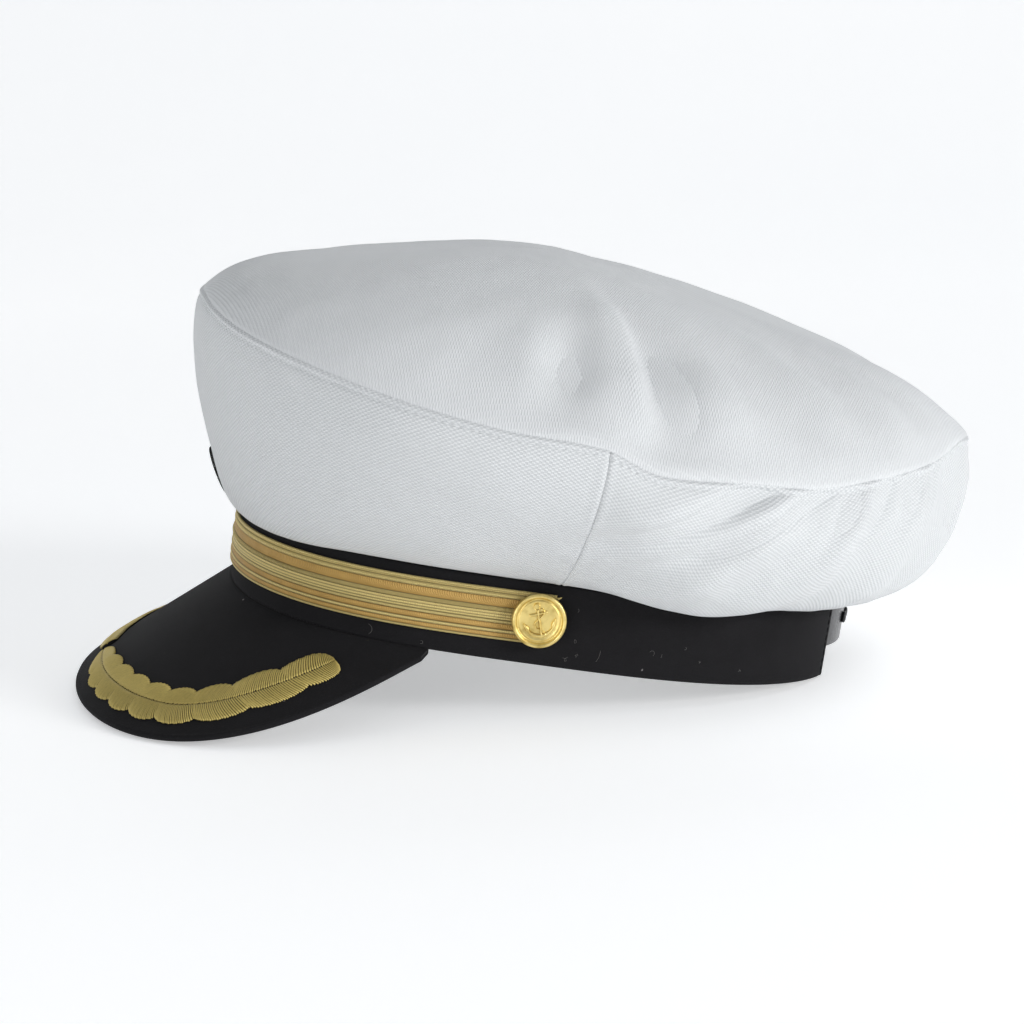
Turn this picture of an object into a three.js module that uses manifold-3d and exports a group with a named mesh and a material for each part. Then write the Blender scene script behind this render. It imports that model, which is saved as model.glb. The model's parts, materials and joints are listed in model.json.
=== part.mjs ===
import * as THREE from 'three';
import { mergeVertices } from 'three/addons/utils/BufferGeometryUtils.js';
import Module from 'manifold-3d';

// A captain hat: a soft white crown, a black felt band open at the rear, a sloping
// visor with gold leaf embroidery, a gold braid with two anchor buttons, a small front
// patch and a plastic snap strap.
// Millimetres. The hat is drawn with its band level: the visor points to -Y, the
// wearer's left is +X and +Z is up. At the end it is set down as it rests by itself.

// Clearance between neighbouring pieces
const GAP = 0.3;

// Band: an oval of felt, about 58 cm round inside
const BAND_LENGTH = 206;
const BAND_WIDTH = 167;
const BAND_HEIGHT = 26;
const BAND_THICKNESS = 3;
const BAND_NOSE = 2.1;
const BAND_FLANK = 3;
const BAND_EGG = 0.05;
const BAND_OPENING = 78;

// Crown: the seam ring between the wall and the top panel
const CLOTH = 1.5;
const CROWN_LENGTH = 259;
const CROWN_WIDTH = 238;
const CROWN_NOSE = 2.1;
const CROWN_FLANK = 2.1;
const CROWN_REACH_BACK = 4.5;
const CROWN_HEIGHT = 68;
const CREST_HEIGHT = 96.75;
const CREST_FORWARD = 11.8;
const EDGE_ROLL_POWER = 11;
const WALL_BULGE = 20;
const FOLD_DEPTH = 3;
const SIDE_SEAM = 90.5;

// Visor: a stiff sheet ruled outwards from the foot of the band
const VISOR_DEPTH = 62.3;
const VISOR_THICKNESS = 2.4;
const VISOR_SLOPE = 41;
const VISOR_SLOPE_LOSS = 10.5;
const VISOR_SPREAD = 67;
const VISOR_FAN = 57;
const VISOR_FULLNESS = 6.6;
const VISOR_CORNER = 1.35;
const VISOR_BLUNT = 0.02;

// Embroidered leaf spray
const SPRAY_THICKNESS = 1.2;
const SPRAY_HALF_WIDTH = 6.4;
const SPRAY_LEAVES = 9;
const SPRAY_LOBE = 0.3;

// Braid
const BRAID_LOW = 6.9;
const BRAID_WIDTH = 16;
const BRAID_THICKNESS = 1.4;
const BRAID_FRONT_RISE = -0.9;
const BRAID_PAST_BUTTON = 5.5;

// Buttons
const BUTTON_RADIUS = 8.6;
const BUTTON_HEIGHT = 2.8;
const BUTTON_RIM = 0.9;
const BUTTON_ANGLE = 86.9;
const BUTTON_TILT = 17;
const ANCHOR_HEIGHT = 9.4;
const ANCHOR_RELIEF = 0.5;
const ANCHOR_SINK = 0.2;

// Front patch
const PATCH_WIDTH = 17;
const PATCH_HEIGHT = 21;
const PATCH_THICKNESS = 1;
const PATCH_CENTRE = 0.21;

// Snap strap
const STRAP_LOW = 8.5;
const STRAP_BOW = 5;
const STRAP_WIDTH = 16;
const STRAP_THICKNESS = 1.3;
const STRAP_TUCK = 12;
const STRAP_OVERLAP = 46;
const PEG_COUNT = 5;
const PEG_PITCH = 9;
const PEG_RADIUS = 1.9;
const PEG_HEAD = 1.3;

const DEG = Math.PI / 180;
const UP = new THREE.Vector3(0, 0, 1);
const BISECTIONS = 34;

// Height of the upper seam as a share of CROWN_HEIGHT, from the front centre round to
// the rear centre, in degrees
const SEAM_LINE = [
  { at: 0, height: 1.0 },
  { at: 10, height: 1.0 },
  { at: 18, height: 0.962 },
  { at: 30, height: 0.906 },
  { at: 45, height: 0.842 },
  { at: 60, height: 0.776 },
  { at: 75, height: 0.732 },
  { at: 90, height: 0.715 },
  { at: 98, height: 0.635 },
  { at: 112, height: 0.648 },
  { at: 122, height: 0.648 },
  { at: 135, height: 0.713 },
  { at: 147, height: 0.78 },
  { at: 158, height: 0.865 },
  { at: 180, height: 0.845 },
];

// Sections of the crown wall at the same angles. The wall's side view is a cubic curve:
// it leaves the band by lowOut and lowUp and reaches the seam past bellyOut and
// bellyDown, all shares of WALL_BULGE.
const WALL_SECTIONS = [
  { at: 0, lowOut: 0.3, lowUp: -0.25, bellyOut: 0.36, bellyDown: 0.85 },
  { at: 30, lowOut: 0.5, lowUp: -0.5, bellyOut: 0.15, bellyDown: 0.93 },
  { at: 60, lowOut: 0.4, lowUp: -0.05, bellyOut: 0.3, bellyDown: 0.83 },
  { at: 90, lowOut: 0.43, lowUp: 0.1, bellyOut: 0.34, bellyDown: 0.82 },
  { at: 112, lowOut: 0.7, lowUp: -0.65, bellyOut: 0.6, bellyDown: 0.98 },
  { at: 135, lowOut: 0.5, lowUp: -0.35, bellyOut: 0.75, bellyDown: 1.06 },
  { at: 158, lowOut: 1.0, lowUp: -0.35, bellyOut: 0.45, bellyDown: 1.2 },
  { at: 180, lowOut: 0.9, lowUp: -0.6, bellyOut: 0.6, bellyDown: 1.07 },
];

// Sections of the top panel: power bends the fall from the crest to the seam, roll is
// the share of the fall that lies in the rolled edge.
const TOP_SECTIONS = [
  { at: 0, power: 1.25, roll: 0.3 },
  { at: 45, power: 1.99, roll: 0.42 },
  { at: 90, power: 2.34, roll: 0.19 },
  { at: 135, power: 1.72, roll: 0.24 },
  { at: 180, power: 1.59, roll: 0.17 },
];

// Folds of the top panel beside the seam: at and width in degrees, reach as a share of
// the way from the seam to the crest, rise as a share of FOLD_DEPTH.
const TOP_FOLDS = [
  { at: 84, width: 7, reach: 0.34, rise: -1.1 },
  { at: 93, width: 5, reach: 0.6, rise: 0.9 },
  { at: 99, width: 5, reach: 0.5, rise: -0.9 },
  { at: 106, width: 6, reach: 0.3, rise: 0.9 },
  { at: 138, width: 8, reach: 0.4, rise: -0.5 },
  { at: 152, width: 8, reach: 0.45, rise: 0.7 },
  { at: 168, width: 7, reach: 0.3, rise: -0.6 },
];

// Gathers of the crown's rear wall: degrees at the seam and at the band, width in
// degrees, and where along the wall each one starts and stops.
const WALL_FOLDS = [
  { top: 113, foot: 92, width: 4.5, from: 0.25, to: 1.0, rise: -0.8 },
  { top: 119, foot: 101, width: 4, from: 0.2, to: 0.95, rise: 0.55 },
  { top: 125, foot: 108, width: 4.5, from: 0.2, to: 1.0, rise: -0.9 },
  { top: 131, foot: 121, width: 4, from: 0.2, to: 0.95, rise: 0.6 },
  { top: 137, foot: 130, width: 4.5, from: 0.3, to: 1.0, rise: -0.8 },
  { top: 145, foot: 140, width: 4.5, from: 0.25, to: 0.95, rise: 0.6 },
  { top: 152, foot: 149, width: 4.5, from: 0.3, to: 1.0, rise: -0.8 },
  { top: 163, foot: 160, width: 5, from: 0.3, to: 0.95, rise: 0.5 },
  { top: 172, foot: 172, width: 5, from: 0.3, to: 1.0, rise: -0.7 },
];

// Middle line of a leaf spray on the visor: along is the share of the visor from its
// centre to its end, inset the distance from the outer edge as a share of VISOR_DEPTH.
const SPRAY_LINE = [
  { at: 0, along: 0.03, inset: 0.19, width: 0.45 },
  { at: 0.12, along: 0.16, inset: 0.19, width: 0.9 },
  { at: 0.3, along: 0.33, inset: 0.2, width: 1.05 },
  { at: 0.48, along: 0.48, inset: 0.21, width: 1.1 },
  { at: 0.62, along: 0.58, inset: 0.225, width: 1.15 },
  { at: 0.74, along: 0.66, inset: 0.28, width: 1.2 },
  { at: 0.86, along: 0.735, inset: 0.385, width: 1.15 },
  { at: 1, along: 0.8, inset: 0.5, width: 0.85 },
];

// Value of one column of a table at a place between its rows, on a smooth curve
function column(rows, key, place) {
  const last = rows.length - 1;
  let i = 0;
  while (i < last - 1 && place > rows[i + 1].at) {
    i += 1;
  }
  const a = rows[i];
  const b = rows[i + 1];
  const before = rows[Math.max(i - 1, 0)];
  const after = rows[Math.min(i + 2, last)];
  const span = b.at - a.at;
  const s = THREE.MathUtils.clamp((place - a.at) / span, 0, 1);
  const slopeA = before === a ? 0 : ((b[key] - before[key]) / (b.at - before.at)) * span;
  const slopeB = after === b ? 0 : ((after[key] - a[key]) / (after.at - a.at)) * span;
  const s2 = s * s;
  const s3 = s2 * s;
  const fromA = (2 * s3 - 3 * s2 + 1) * a[key] + (s3 - 2 * s2 + s) * slopeA;
  const fromB = (3 * s2 - 2 * s3) * b[key] + (s3 - s2) * slopeB;
  return fromA + fromB;
}

// The same direction as an angle between minus and plus half a turn
function wrap(angle) {
  return Math.atan2(Math.sin(angle), Math.cos(angle));
}

// Oval in plan: nose rounds its front and rear, flank straightens its sides and egg
// widens its front. The point returned is the one seen from the middle at an angle,
// where 0 is the front and a quarter turn is the wearer's left.
function oval(angle, halfLength, halfWidth, nose, flank, egg) {
  const wrapped = wrap(angle);
  const turn = Math.abs(wrapped);
  const pointAt = (t) => {
    const s = Math.sin(t);
    const c = Math.cos(t);
    const x = halfWidth * (1 + egg * c) * s ** (2 / nose);
    return [x, -halfLength * Math.sign(c) * Math.abs(c) ** (2 / flank)];
  };
  let low = 0;
  let high = Math.PI;
  for (let i = 0; i < BISECTIONS; i += 1) {
    const middle = (low + high) / 2;
    const [x, y] = pointAt(middle);
    if (Math.atan2(x, -y) < turn) {
      low = middle;
    } else {
      high = middle;
    }
  }
  const [x, y] = pointAt((low + high) / 2);
  return [x * Math.sign(wrapped), y];
}

// Point on the band's oval, moved outwards from the band's outer face
function bandPoint(angle, outward, z) {
  const halfLength = BAND_LENGTH / 2 + outward;
  const halfWidth = BAND_WIDTH / 2 + outward;
  const [x, y] = oval(angle, halfLength, halfWidth, BAND_NOSE, BAND_FLANK, BAND_EGG);
  return new THREE.Vector3(x, y, z);
}

// Angle at which the band's outer face is a given distance from the middle plane,
// searched from the side back to the rear
function rearAngleAt(halfWidth) {
  let near = Math.PI / 2;
  let far = Math.PI;
  for (let i = 0; i < BISECTIONS; i += 1) {
    const middle = (near + far) / 2;
    if (bandPoint(middle, 0, 0).x > halfWidth) {
      near = middle;
    } else {
      far = middle;
    }
  }
  return near;
}

// Width of a bell-shaped fold at a distance from its middle
function bell(distance, width) {
  return Math.exp(-((distance / width) ** 2));
}

// Turn from the front in degrees, the same on both sides
function turnFrom(angle) {
  return Math.abs(wrap(angle)) / DEG;
}

// Point of the seam between the crown's wall and its top
function seamPoint(angle) {
  const turn = turnFrom(angle);
  const [x, y] = oval(angle, CROWN_LENGTH / 2, CROWN_WIDTH / 2, CROWN_NOSE, CROWN_FLANK, 0);
  const z = BAND_HEIGHT + CROWN_HEIGHT * column(SEAM_LINE, 'height', turn);
  return new THREE.Vector3(x, y + CROWN_REACH_BACK, z);
}

// Height of the wall's gathers at a place on the wall
function wallFold(turn, v) {
  let sum = 0;
  for (const fold of WALL_FOLDS) {
    const middle = fold.foot + (fold.top - fold.foot) * v;
    const enter = THREE.MathUtils.smoothstep(v, fold.from - 0.2, fold.from + 0.2);
    const leave = 1 - THREE.MathUtils.smoothstep(v, fold.to - 0.15, fold.to + 0.08);
    sum += fold.rise * bell(turn - middle, fold.width) * enter * leave;
  }
  return sum * FOLD_DEPTH;
}

// Outer face of the crown's wall: v runs from 0 at the band to 1 at the upper seam
function wallPoint(angle, v) {
  const turn = turnFrom(angle);
  const foot = bandPoint(angle, GAP, BAND_HEIGHT + GAP);
  const head = seamPoint(angle);
  head.z -= GAP / 2;
  const out = new THREE.Vector3(head.x - foot.x, head.y - foot.y, 0).normalize();
  const share = (key) => column(WALL_SECTIONS, key, turn) * WALL_BULGE;
  const low = foot.clone().addScaledVector(out, share('lowOut'));
  low.z += share('lowUp');
  const belly = head.clone().addScaledVector(out, share('bellyOut'));
  belly.z -= share('bellyDown');
  const point = new THREE.CubicBezierCurve3(foot, low, belly, head).getPoint(v);
  return point.addScaledVector(out, wallFold(turn, v));
}

// Height of the top panel's folds, v from 0 at the crest to 1 at the seam
function topFold(turn, v) {
  let sum = 0;
  for (const fold of TOP_FOLDS) {
    const inside = THREE.MathUtils.smoothstep(v, 1 - fold.reach, 1 - fold.reach * 0.4);
    const rim = 1 - THREE.MathUtils.smoothstep(v, 0.94, 1);
    sum += fold.rise * bell(turn - fold.at, fold.width) * inside * rim;
  }
  return sum * FOLD_DEPTH;
}

// Outer face of the top panel
function topPoint(angle, v) {
  const turn = turnFrom(angle);
  const edge = seamPoint(angle);
  edge.z += GAP / 2;
  const crest = new THREE.Vector3(0, -CREST_FORWARD, BAND_HEIGHT + CREST_HEIGHT);
  const roll = column(TOP_SECTIONS, 'roll', turn);
  const power = column(TOP_SECTIONS, 'power', turn);
  const fall = (1 - roll) * v ** power + roll * v ** EDGE_ROLL_POWER;
  const point = crest.clone().lerp(edge, v);
  point.z = crest.z - (crest.z - edge.z) * fall + topFold(turn, v);
  return point;
}

// Unit normal of a surface given as a function of two numbers
function normalAt(surface, u, v, stepU, stepV, lowV, highV) {
  const alongU = surface(u + stepU, v).sub(surface(u - stepU, v));
  const v0 = Math.max(v - stepV, lowV);
  const v1 = Math.min(v + stepV, highV);
  const alongV = surface(u, v1).sub(surface(u, v0));
  return alongU.cross(alongV).normalize();
}

function wallNormal(angle, v) {
  return normalAt(wallPoint, angle, v, 0.5 * DEG, 0.01, 0, 1);
}

function topNormal(angle, v) {
  return normalAt(topPoint, angle, v, 0.5 * DEG, 0.01, 0.02, 1).negate();
}

// Point inside the wall. At both rims it lies level with the rim, so that the cut
// faces of neighbouring panels stay parallel.
function wallInside(angle, v) {
  const point = wallPoint(angle, v);
  if (v > 0 && v < 1) {
    return point.addScaledVector(wallNormal(angle, v), -CLOTH);
  }
  const level = wallNormal(angle, v).setZ(0).normalize();
  return point.addScaledVector(level, -CLOTH);
}

function topInside(angle, v) {
  const point = topPoint(angle, v);
  if (v < 1) {
    return point.addScaledVector(topNormal(angle, v), -CLOTH);
  }
  const level = wallNormal(angle, 1).setZ(0).normalize();
  return point.addScaledVector(level, -CLOTH);
}

// Closed geometry from a list of points and a list of triangles
function solid(points, triangles) {
  const geometry = new THREE.BufferGeometry();
  const position = points.flatMap((p) => [p.x, p.y, p.z]);
  geometry.setAttribute('position', new THREE.Float32BufferAttribute(position, 3));
  geometry.setIndex(triangles);
  geometry.computeVertexNormals();
  return geometry;
}

// Sheet with two faces and four rims. Each face is a function of a column and a row;
// seen from outside, columns run to the right and rows run up.
function sheet(columns, rows, outside, inside) {
  const points = [];
  const triangles = [];
  for (const face of [outside, inside]) {
    for (let j = 0; j <= rows; j += 1) {
      for (let i = 0; i <= columns; i += 1) {
        points.push(face(i / columns, j / rows));
      }
    }
  }
  const side = (columns + 1) * (rows + 1);
  const at = (i, j, face) => face * side + j * (columns + 1) + i;
  const quad = (a, b, c, d) => triangles.push(a, b, c, a, c, d);
  for (let j = 0; j < rows; j += 1) {
    for (let i = 0; i < columns; i += 1) {
      quad(at(i, j, 0), at(i + 1, j, 0), at(i + 1, j + 1, 0), at(i, j + 1, 0));
      quad(at(i, j, 1), at(i, j + 1, 1), at(i + 1, j + 1, 1), at(i + 1, j, 1));
    }
  }
  for (let i = 0; i < columns; i += 1) {
    quad(at(i, 0, 1), at(i + 1, 0, 1), at(i + 1, 0, 0), at(i, 0, 0));
    quad(at(i, rows, 0), at(i + 1, rows, 0), at(i + 1, rows, 1), at(i, rows, 1));
  }
  for (let j = 0; j < rows; j += 1) {
    quad(at(0, j, 1), at(0, j, 0), at(0, j + 1, 0), at(0, j + 1, 1));
    quad(at(columns, j, 0), at(columns, j, 1), at(columns, j + 1, 1), at(columns, j + 1, 0));
  }
  return solid(points, triangles);
}

// Round sheet with two faces and one rim. Each face is a function of the share of a
// turn and the share of the way from the middle to the rim.
function disc(around, rings, outside, inside) {
  const points = [];
  const triangles = [];
  for (const face of [outside, inside]) {
    points.push(face(0, 0));
    for (let j = 1; j <= rings; j += 1) {
      for (let i = 0; i < around; i += 1) {
        points.push(face(i / around, j / rings));
      }
    }
  }
  const side = 1 + around * rings;
  const at = (i, j, face) => face * side + 1 + (j - 1) * around + (i % around);
  const quad = (a, b, c, d) => triangles.push(a, b, c, a, c, d);
  for (let i = 0; i < around; i += 1) {
    triangles.push(0, at(i, 1, 0), at(i + 1, 1, 0));
    triangles.push(side, at(i + 1, 1, 1), at(i, 1, 1));
    for (let j = 1; j < rings; j += 1) {
      quad(at(i, j, 0), at(i, j + 1, 0), at(i + 1, j + 1, 0), at(i + 1, j, 0));
      quad(at(i, j, 1), at(i + 1, j, 1), at(i + 1, j + 1, 1), at(i, j + 1, 1));
    }
    quad(at(i, rings, 0), at(i, rings, 1), at(i + 1, rings, 1), at(i + 1, rings, 0));
  }
  return solid(points, triangles);
}

const wasm = await Module();
wasm.setup();

// Solid for joining and cutting, from a closed geometry
function toManifold(geometry) {
  const bare = geometry.clone();
  bare.deleteAttribute('normal');
  bare.deleteAttribute('uv');
  const merged = mergeVertices(bare, 1e-4);
  const mesh = new wasm.Mesh({
    numProp: 3,
    vertProperties: new Float32Array(merged.attributes.position.array),
    triVerts: new Uint32Array(merged.index.array),
  });
  return new wasm.Manifold(mesh);
}

function fromManifold(manifold) {
  const mesh = manifold.getMesh();
  const geometry = new THREE.BufferGeometry();
  geometry.setAttribute('position', new THREE.BufferAttribute(mesh.vertProperties, 3));
  geometry.setIndex(new THREE.BufferAttribute(mesh.triVerts, 1));
  geometry.computeVertexNormals();
  return geometry;
}

function piece(name, geometry, material) {
  const mesh = new THREE.Mesh(geometry, material);
  mesh.name = name;
  return mesh;
}

function finish(color, roughness, metalness) {
  return new THREE.MeshStandardMaterial({ color, roughness, metalness });
}

// Crown top: rings lie closer together near the seam, where the cloth rolls over
function makeCrownTop() {
  const spread = (ring) => 1 - (1 - ring) ** 1.45;
  const outside = (turn, ring) => topPoint(turnAngle(turn), spread(ring));
  const inside = (turn, ring) => topInside(turnAngle(turn), spread(ring));
  return piece('crown_top', disc(72, 9, outside, inside), finish(0xc8cdd2, 0.9, 0));
}

// Angle for a share of a turn that starts at the rear
function turnAngle(share) {
  return (share * 2 - 1) * Math.PI;
}

// Part of the crown's wall between two angles, kept clear of the side seams
function wallSheet(from, to, columns, rows) {
  const clear = GAP / CROWN_WIDTH;
  const angleAt = (share) => THREE.MathUtils.lerp(from + clear, to - clear, share);
  const outside = (u, v) => wallPoint(angleAt(u), v);
  const inside = (u, v) => wallInside(angleAt(u), v);
  return sheet(columns, rows, outside, inside);
}

function makeCrownFront() {
  const edge = SIDE_SEAM * DEG;
  return piece('crown_front', wallSheet(-edge, edge, 36, 7), finish(0xdcdfe2, 0.9, 0));
}

function makeCrownBack() {
  const edge = SIDE_SEAM * DEG;
  const geometry = wallSheet(edge, 2 * Math.PI - edge, 60, 9);
  return piece('crown_back', geometry, finish(0xe2e4e6, 0.9, 0));
}

// Curved strip that follows the band: low and high are heights at an angle
function strip(from, to, columns, outer, inner, low, high) {
  const angleAt = (share) => THREE.MathUtils.lerp(from, to, share);
  const face = (outward) => (u, v) => {
    const angle = angleAt(u);
    const z = THREE.MathUtils.lerp(low(angle), high(angle), v);
    return bandPoint(angle, outward(angle), z);
  };
  return sheet(columns, 1, face(outer), face(inner));
}

function makeBand() {
  const end = rearAngleAt(BAND_OPENING / 2);
  const outer = () => 0;
  const inner = () => -BAND_THICKNESS;
  const geometry = strip(-end, end, 60, outer, inner, () => 0, () => BAND_HEIGHT);
  return piece('band', geometry, finish(0x1b1a1c, 0.95, 0));
}

// Height of the braid's lower edge, which rises a little towards the front
function braidLow(angle) {
  return BRAID_LOW + BRAID_FRONT_RISE * Math.cos(angle);
}

function makeBraid() {
  const end = BUTTON_ANGLE * DEG + BRAID_PAST_BUTTON / (BAND_LENGTH / 2);
  const outer = () => GAP + BRAID_THICKNESS;
  const inner = () => GAP;
  const high = (angle) => braidLow(angle) + BRAID_WIDTH;
  const geometry = strip(-end, end, 40, outer, inner, braidLow, high);
  return piece('braid', geometry, finish(0xb79d5c, 0.55, 0.3));
}

// Upper face of the visor: along runs from -1 to 1 between its ends, out from 0 at the
// band to 1 at the free edge
function visorPoint(along, out) {
  const foot = bandPoint(along * VISOR_SPREAD * DEG, 0, -GAP);
  const slope = (VISOR_SLOPE - VISOR_SLOPE_LOSS * along * along) * DEG;
  const heading = VISOR_FAN * along * DEG;
  const level = Math.cos(slope);
  const fullness = 1 - Math.abs(along) ** VISOR_FULLNESS;
  const depth = VISOR_DEPTH * fullness ** VISOR_CORNER;
  const x = level * Math.sin(heading);
  const y = -level * Math.cos(heading);
  return foot.addScaledVector(new THREE.Vector3(x, y, -Math.sin(slope)), out * depth);
}

function visorNormal(along, out) {
  return normalAt(visorPoint, along, out, 0.004, 0.02, 0, 1).negate();
}

// Point at a depth under the upper face, or above it with a negative depth
function underVisor(along, out, depth) {
  return visorPoint(along, out).addScaledVector(visorNormal(along, out), -depth);
}

// Columns crowd towards the ends, where the outline turns, and stop just short of them
function visorAlong(share) {
  return (1 - VISOR_BLUNT) * Math.sin((share * 2 - 1) * Math.PI / 2);
}

function makeVisor() {
  const outside = (u, v) => visorPoint(visorAlong(u), 1 - v);
  const inside = (u, v) => underVisor(visorAlong(u), 1 - v, VISOR_THICKNESS);
  return piece('visor', sheet(40, 6, outside, inside), finish(0x1c1b1d, 0.95, 0));
}

// Place on the visor of the spray's middle line
function sprayPlace(share) {
  const along = column(SPRAY_LINE, 'along', share);
  const fullness = (1 - along ** VISOR_FULLNESS) ** VISOR_CORNER;
  const out = 1 - column(SPRAY_LINE, 'inset', share) / fullness;
  return [along, out];
}

// Point of the spray beside its middle line: the step across is turned into steps of
// the visor's own two directions, so that the point stays on the visor
function sprayPoint(share, across, lift, hand) {
  const [along, out] = sprayPlace(share);
  const [alongNext, outNext] = sprayPlace(share + 0.01);
  const here = visorPoint(along, out);
  const forward = visorPoint(alongNext, outNext).sub(here).normalize();
  const side = visorNormal(along, out).cross(forward).normalize();
  const leaf = Math.abs(Math.sin((share * SPRAY_LEAVES + 0.15 * across) * Math.PI));
  const lobes = 1 - SPRAY_LOBE * (1 - Math.sqrt(leaf));
  const width = SPRAY_HALF_WIDTH * column(SPRAY_LINE, 'width', share) * lobes;
  const step = side.multiplyScalar(width * across);
  const small = 0.01;
  const a = visorPoint(along + small, out).sub(here).divideScalar(small);
  const b = visorPoint(along, out + small).sub(here).divideScalar(small);
  const aa = a.dot(a);
  const ab = a.dot(b);
  const bb = b.dot(b);
  const det = aa * bb - ab * ab;
  const moveAlong = (step.dot(a) * bb - step.dot(b) * ab) / det;
  const moveOut = (step.dot(b) * aa - step.dot(a) * ab) / det;
  const point = underVisor(along + moveAlong, out + moveOut, -lift);
  point.x *= hand;
  return point;
}

function makeSpray(name, hand) {
  const face = (thickness) => (u, v) => {
    const across = (v * 2 - 1) * hand;
    const crown = thickness * (1 - 0.5 * across * across);
    return sprayPoint(u * 0.98, across, GAP + crown, hand);
  };
  const geometry = sheet(54, 2, face(SPRAY_THICKNESS), face(0));
  return piece(name, geometry, finish(0xa6924f, 0.5, 0.3));
}

// Flat bar of the anchor between two points, as an extruded shape
function anchorBar(x0, y0, x1, y1, width) {
  const across = new THREE.Vector2(y0 - y1, x1 - x0).setLength(width / 2);
  const corners = [
    new THREE.Vector2(x0 - across.x, y0 - across.y),
    new THREE.Vector2(x1 - across.x, y1 - across.y),
    new THREE.Vector2(x1 + across.x, y1 + across.y),
    new THREE.Vector2(x0 + across.x, y0 + across.y),
  ];
  return new THREE.Shape(corners);
}

// Plain anchor: shank, stock, ring, curved arms and two flukes, as shapes round the
// middle of the shank
function anchorShapes(height) {
  const bar = height * 0.11;
  const ring = new THREE.Shape().absarc(0, height * 0.41, height * 0.11, 0, 2 * Math.PI);
  const hole = new THREE.Path().absarc(0, height * 0.41, height * 0.045, 0, 2 * Math.PI);
  ring.holes.push(hole);
  const arms = new THREE.Shape();
  const centreY = height * 0.02;
  const outer = height * 0.5;
  const inner = height * 0.38;
  arms.absarc(0, centreY, outer, 205 * DEG, 335 * DEG, false);
  arms.absarc(0, centreY + height * 0.02, inner, 335 * DEG, 205 * DEG, true);
  const fluke = (hand) => new THREE.Shape([
    new THREE.Vector2(hand * height * 0.3, -height * 0.12),
    new THREE.Vector2(hand * height * 0.56, -height * 0.22),
    new THREE.Vector2(hand * height * 0.45, height * 0.03),
  ]);
  return [
    anchorBar(0, height * 0.33, 0, -height * 0.46, bar),
    anchorBar(-height * 0.24, height * 0.22, height * 0.24, height * 0.22, bar),
    ring,
    arms,
    fluke(1),
    fluke(-1),
  ];
}

// Button: a turned shank disc with a raised rim, and a raised anchor fused on it
function buttonGeometry() {
  const r = BUTTON_RADIUS;
  const h = BUTTON_HEIGHT;
  const floor = h - BUTTON_RIM * 0.7;
  const profile = [
    new THREE.Vector2(0, 0),
    new THREE.Vector2(r * 0.9, 0),
    new THREE.Vector2(r, h * 0.35),
    new THREE.Vector2(r, h * 0.75),
    new THREE.Vector2(r - BUTTON_RIM * 0.5, h),
    new THREE.Vector2(r - BUTTON_RIM, h * 0.9),
    new THREE.Vector2(r - BUTTON_RIM * 1.5, floor),
    new THREE.Vector2(0, floor + BUTTON_RIM * 0.2),
  ];
  const body = new THREE.LatheGeometry(profile, 24);
  body.rotateX(Math.PI / 2);
  let joined = toManifold(body);
  const depth = ANCHOR_RELIEF + ANCHOR_SINK;
  for (const shape of anchorShapes(ANCHOR_HEIGHT)) {
    const options = { depth, bevelEnabled: false, curveSegments: 5 };
    const raised = new THREE.ExtrudeGeometry(shape, options);
    raised.translate(0, 0, floor - ANCHOR_SINK);
    joined = joined.add(toManifold(raised));
  }
  return fromManifold(joined);
}

// Button on the braid: its axis points straight out of the band
function makeButton(name, hand) {
  const angle = BUTTON_ANGLE * DEG * hand;
  const turn = 0.5 * DEG;
  const ahead = bandPoint(angle + turn, 0, 0);
  const along = ahead.sub(bandPoint(angle - turn, 0, 0)).normalize();
  const out = along.clone().cross(UP);
  const z = braidLow(angle) + BRAID_WIDTH / 2;
  const seat = bandPoint(angle, GAP + BRAID_THICKNESS + GAP, z);
  const mesh = piece(name, buttonGeometry(), finish(0xb39c5a, 0.3, 1));
  const spin = new THREE.Matrix4().makeRotationZ(BUTTON_TILT * DEG * hand);
  const frame = new THREE.Matrix4().makeBasis(along, UP, out);
  mesh.setRotationFromMatrix(frame.multiply(spin));
  mesh.position.copy(seat);
  return mesh;
}

// Patch: an oval of cloth that follows the crown's front
function makeFrontPatch() {
  const reach = wallPoint(0, PATCH_CENTRE + 0.05).distanceTo(wallPoint(0, PATCH_CENTRE)) / 0.05;
  const halfV = PATCH_HEIGHT / 2 / reach;
  const small = 2 * DEG;
  const arc = wallPoint(small, PATCH_CENTRE).distanceTo(wallPoint(-small, PATCH_CENTRE));
  const halfAngle = ((PATCH_WIDTH / 2) * 2 * small) / arc;
  const face = (lift) => (turn, ring) => {
    const angle = halfAngle * ring * Math.cos(turn * 2 * Math.PI);
    const v = PATCH_CENTRE + halfV * ring * Math.sin(turn * 2 * Math.PI);
    return wallPoint(angle, v).addScaledVector(wallNormal(angle, v), lift);
  };
  const geometry = disc(22, 2, face(GAP + PATCH_THICKNESS), face(GAP));
  return piece('front_patch', geometry, finish(0x2a2830, 0.9, 0));
}

// Radial place of a snap strip: it leaves the band's inner face, bows out behind the
// opening and moves in by step to pass behind the other strip
function strapOutward(step, from, to) {
  return (angle) => {
    const share = THREE.MathUtils.smoothstep(Math.abs(angle - from), 0, Math.abs(to - from));
    return strapBow(angle) - BAND_THICKNESS - GAP - step * share;
  };
}

// How far the strap bows out at an angle, from nothing at the band's ends
function strapBow(angle) {
  const opening = Math.PI - rearAngleAt(BAND_OPENING / 2);
  const off = Math.min(Math.abs(angle - Math.PI) / opening, 1);
  return STRAP_BOW * (1 - off * off);
}

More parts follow.
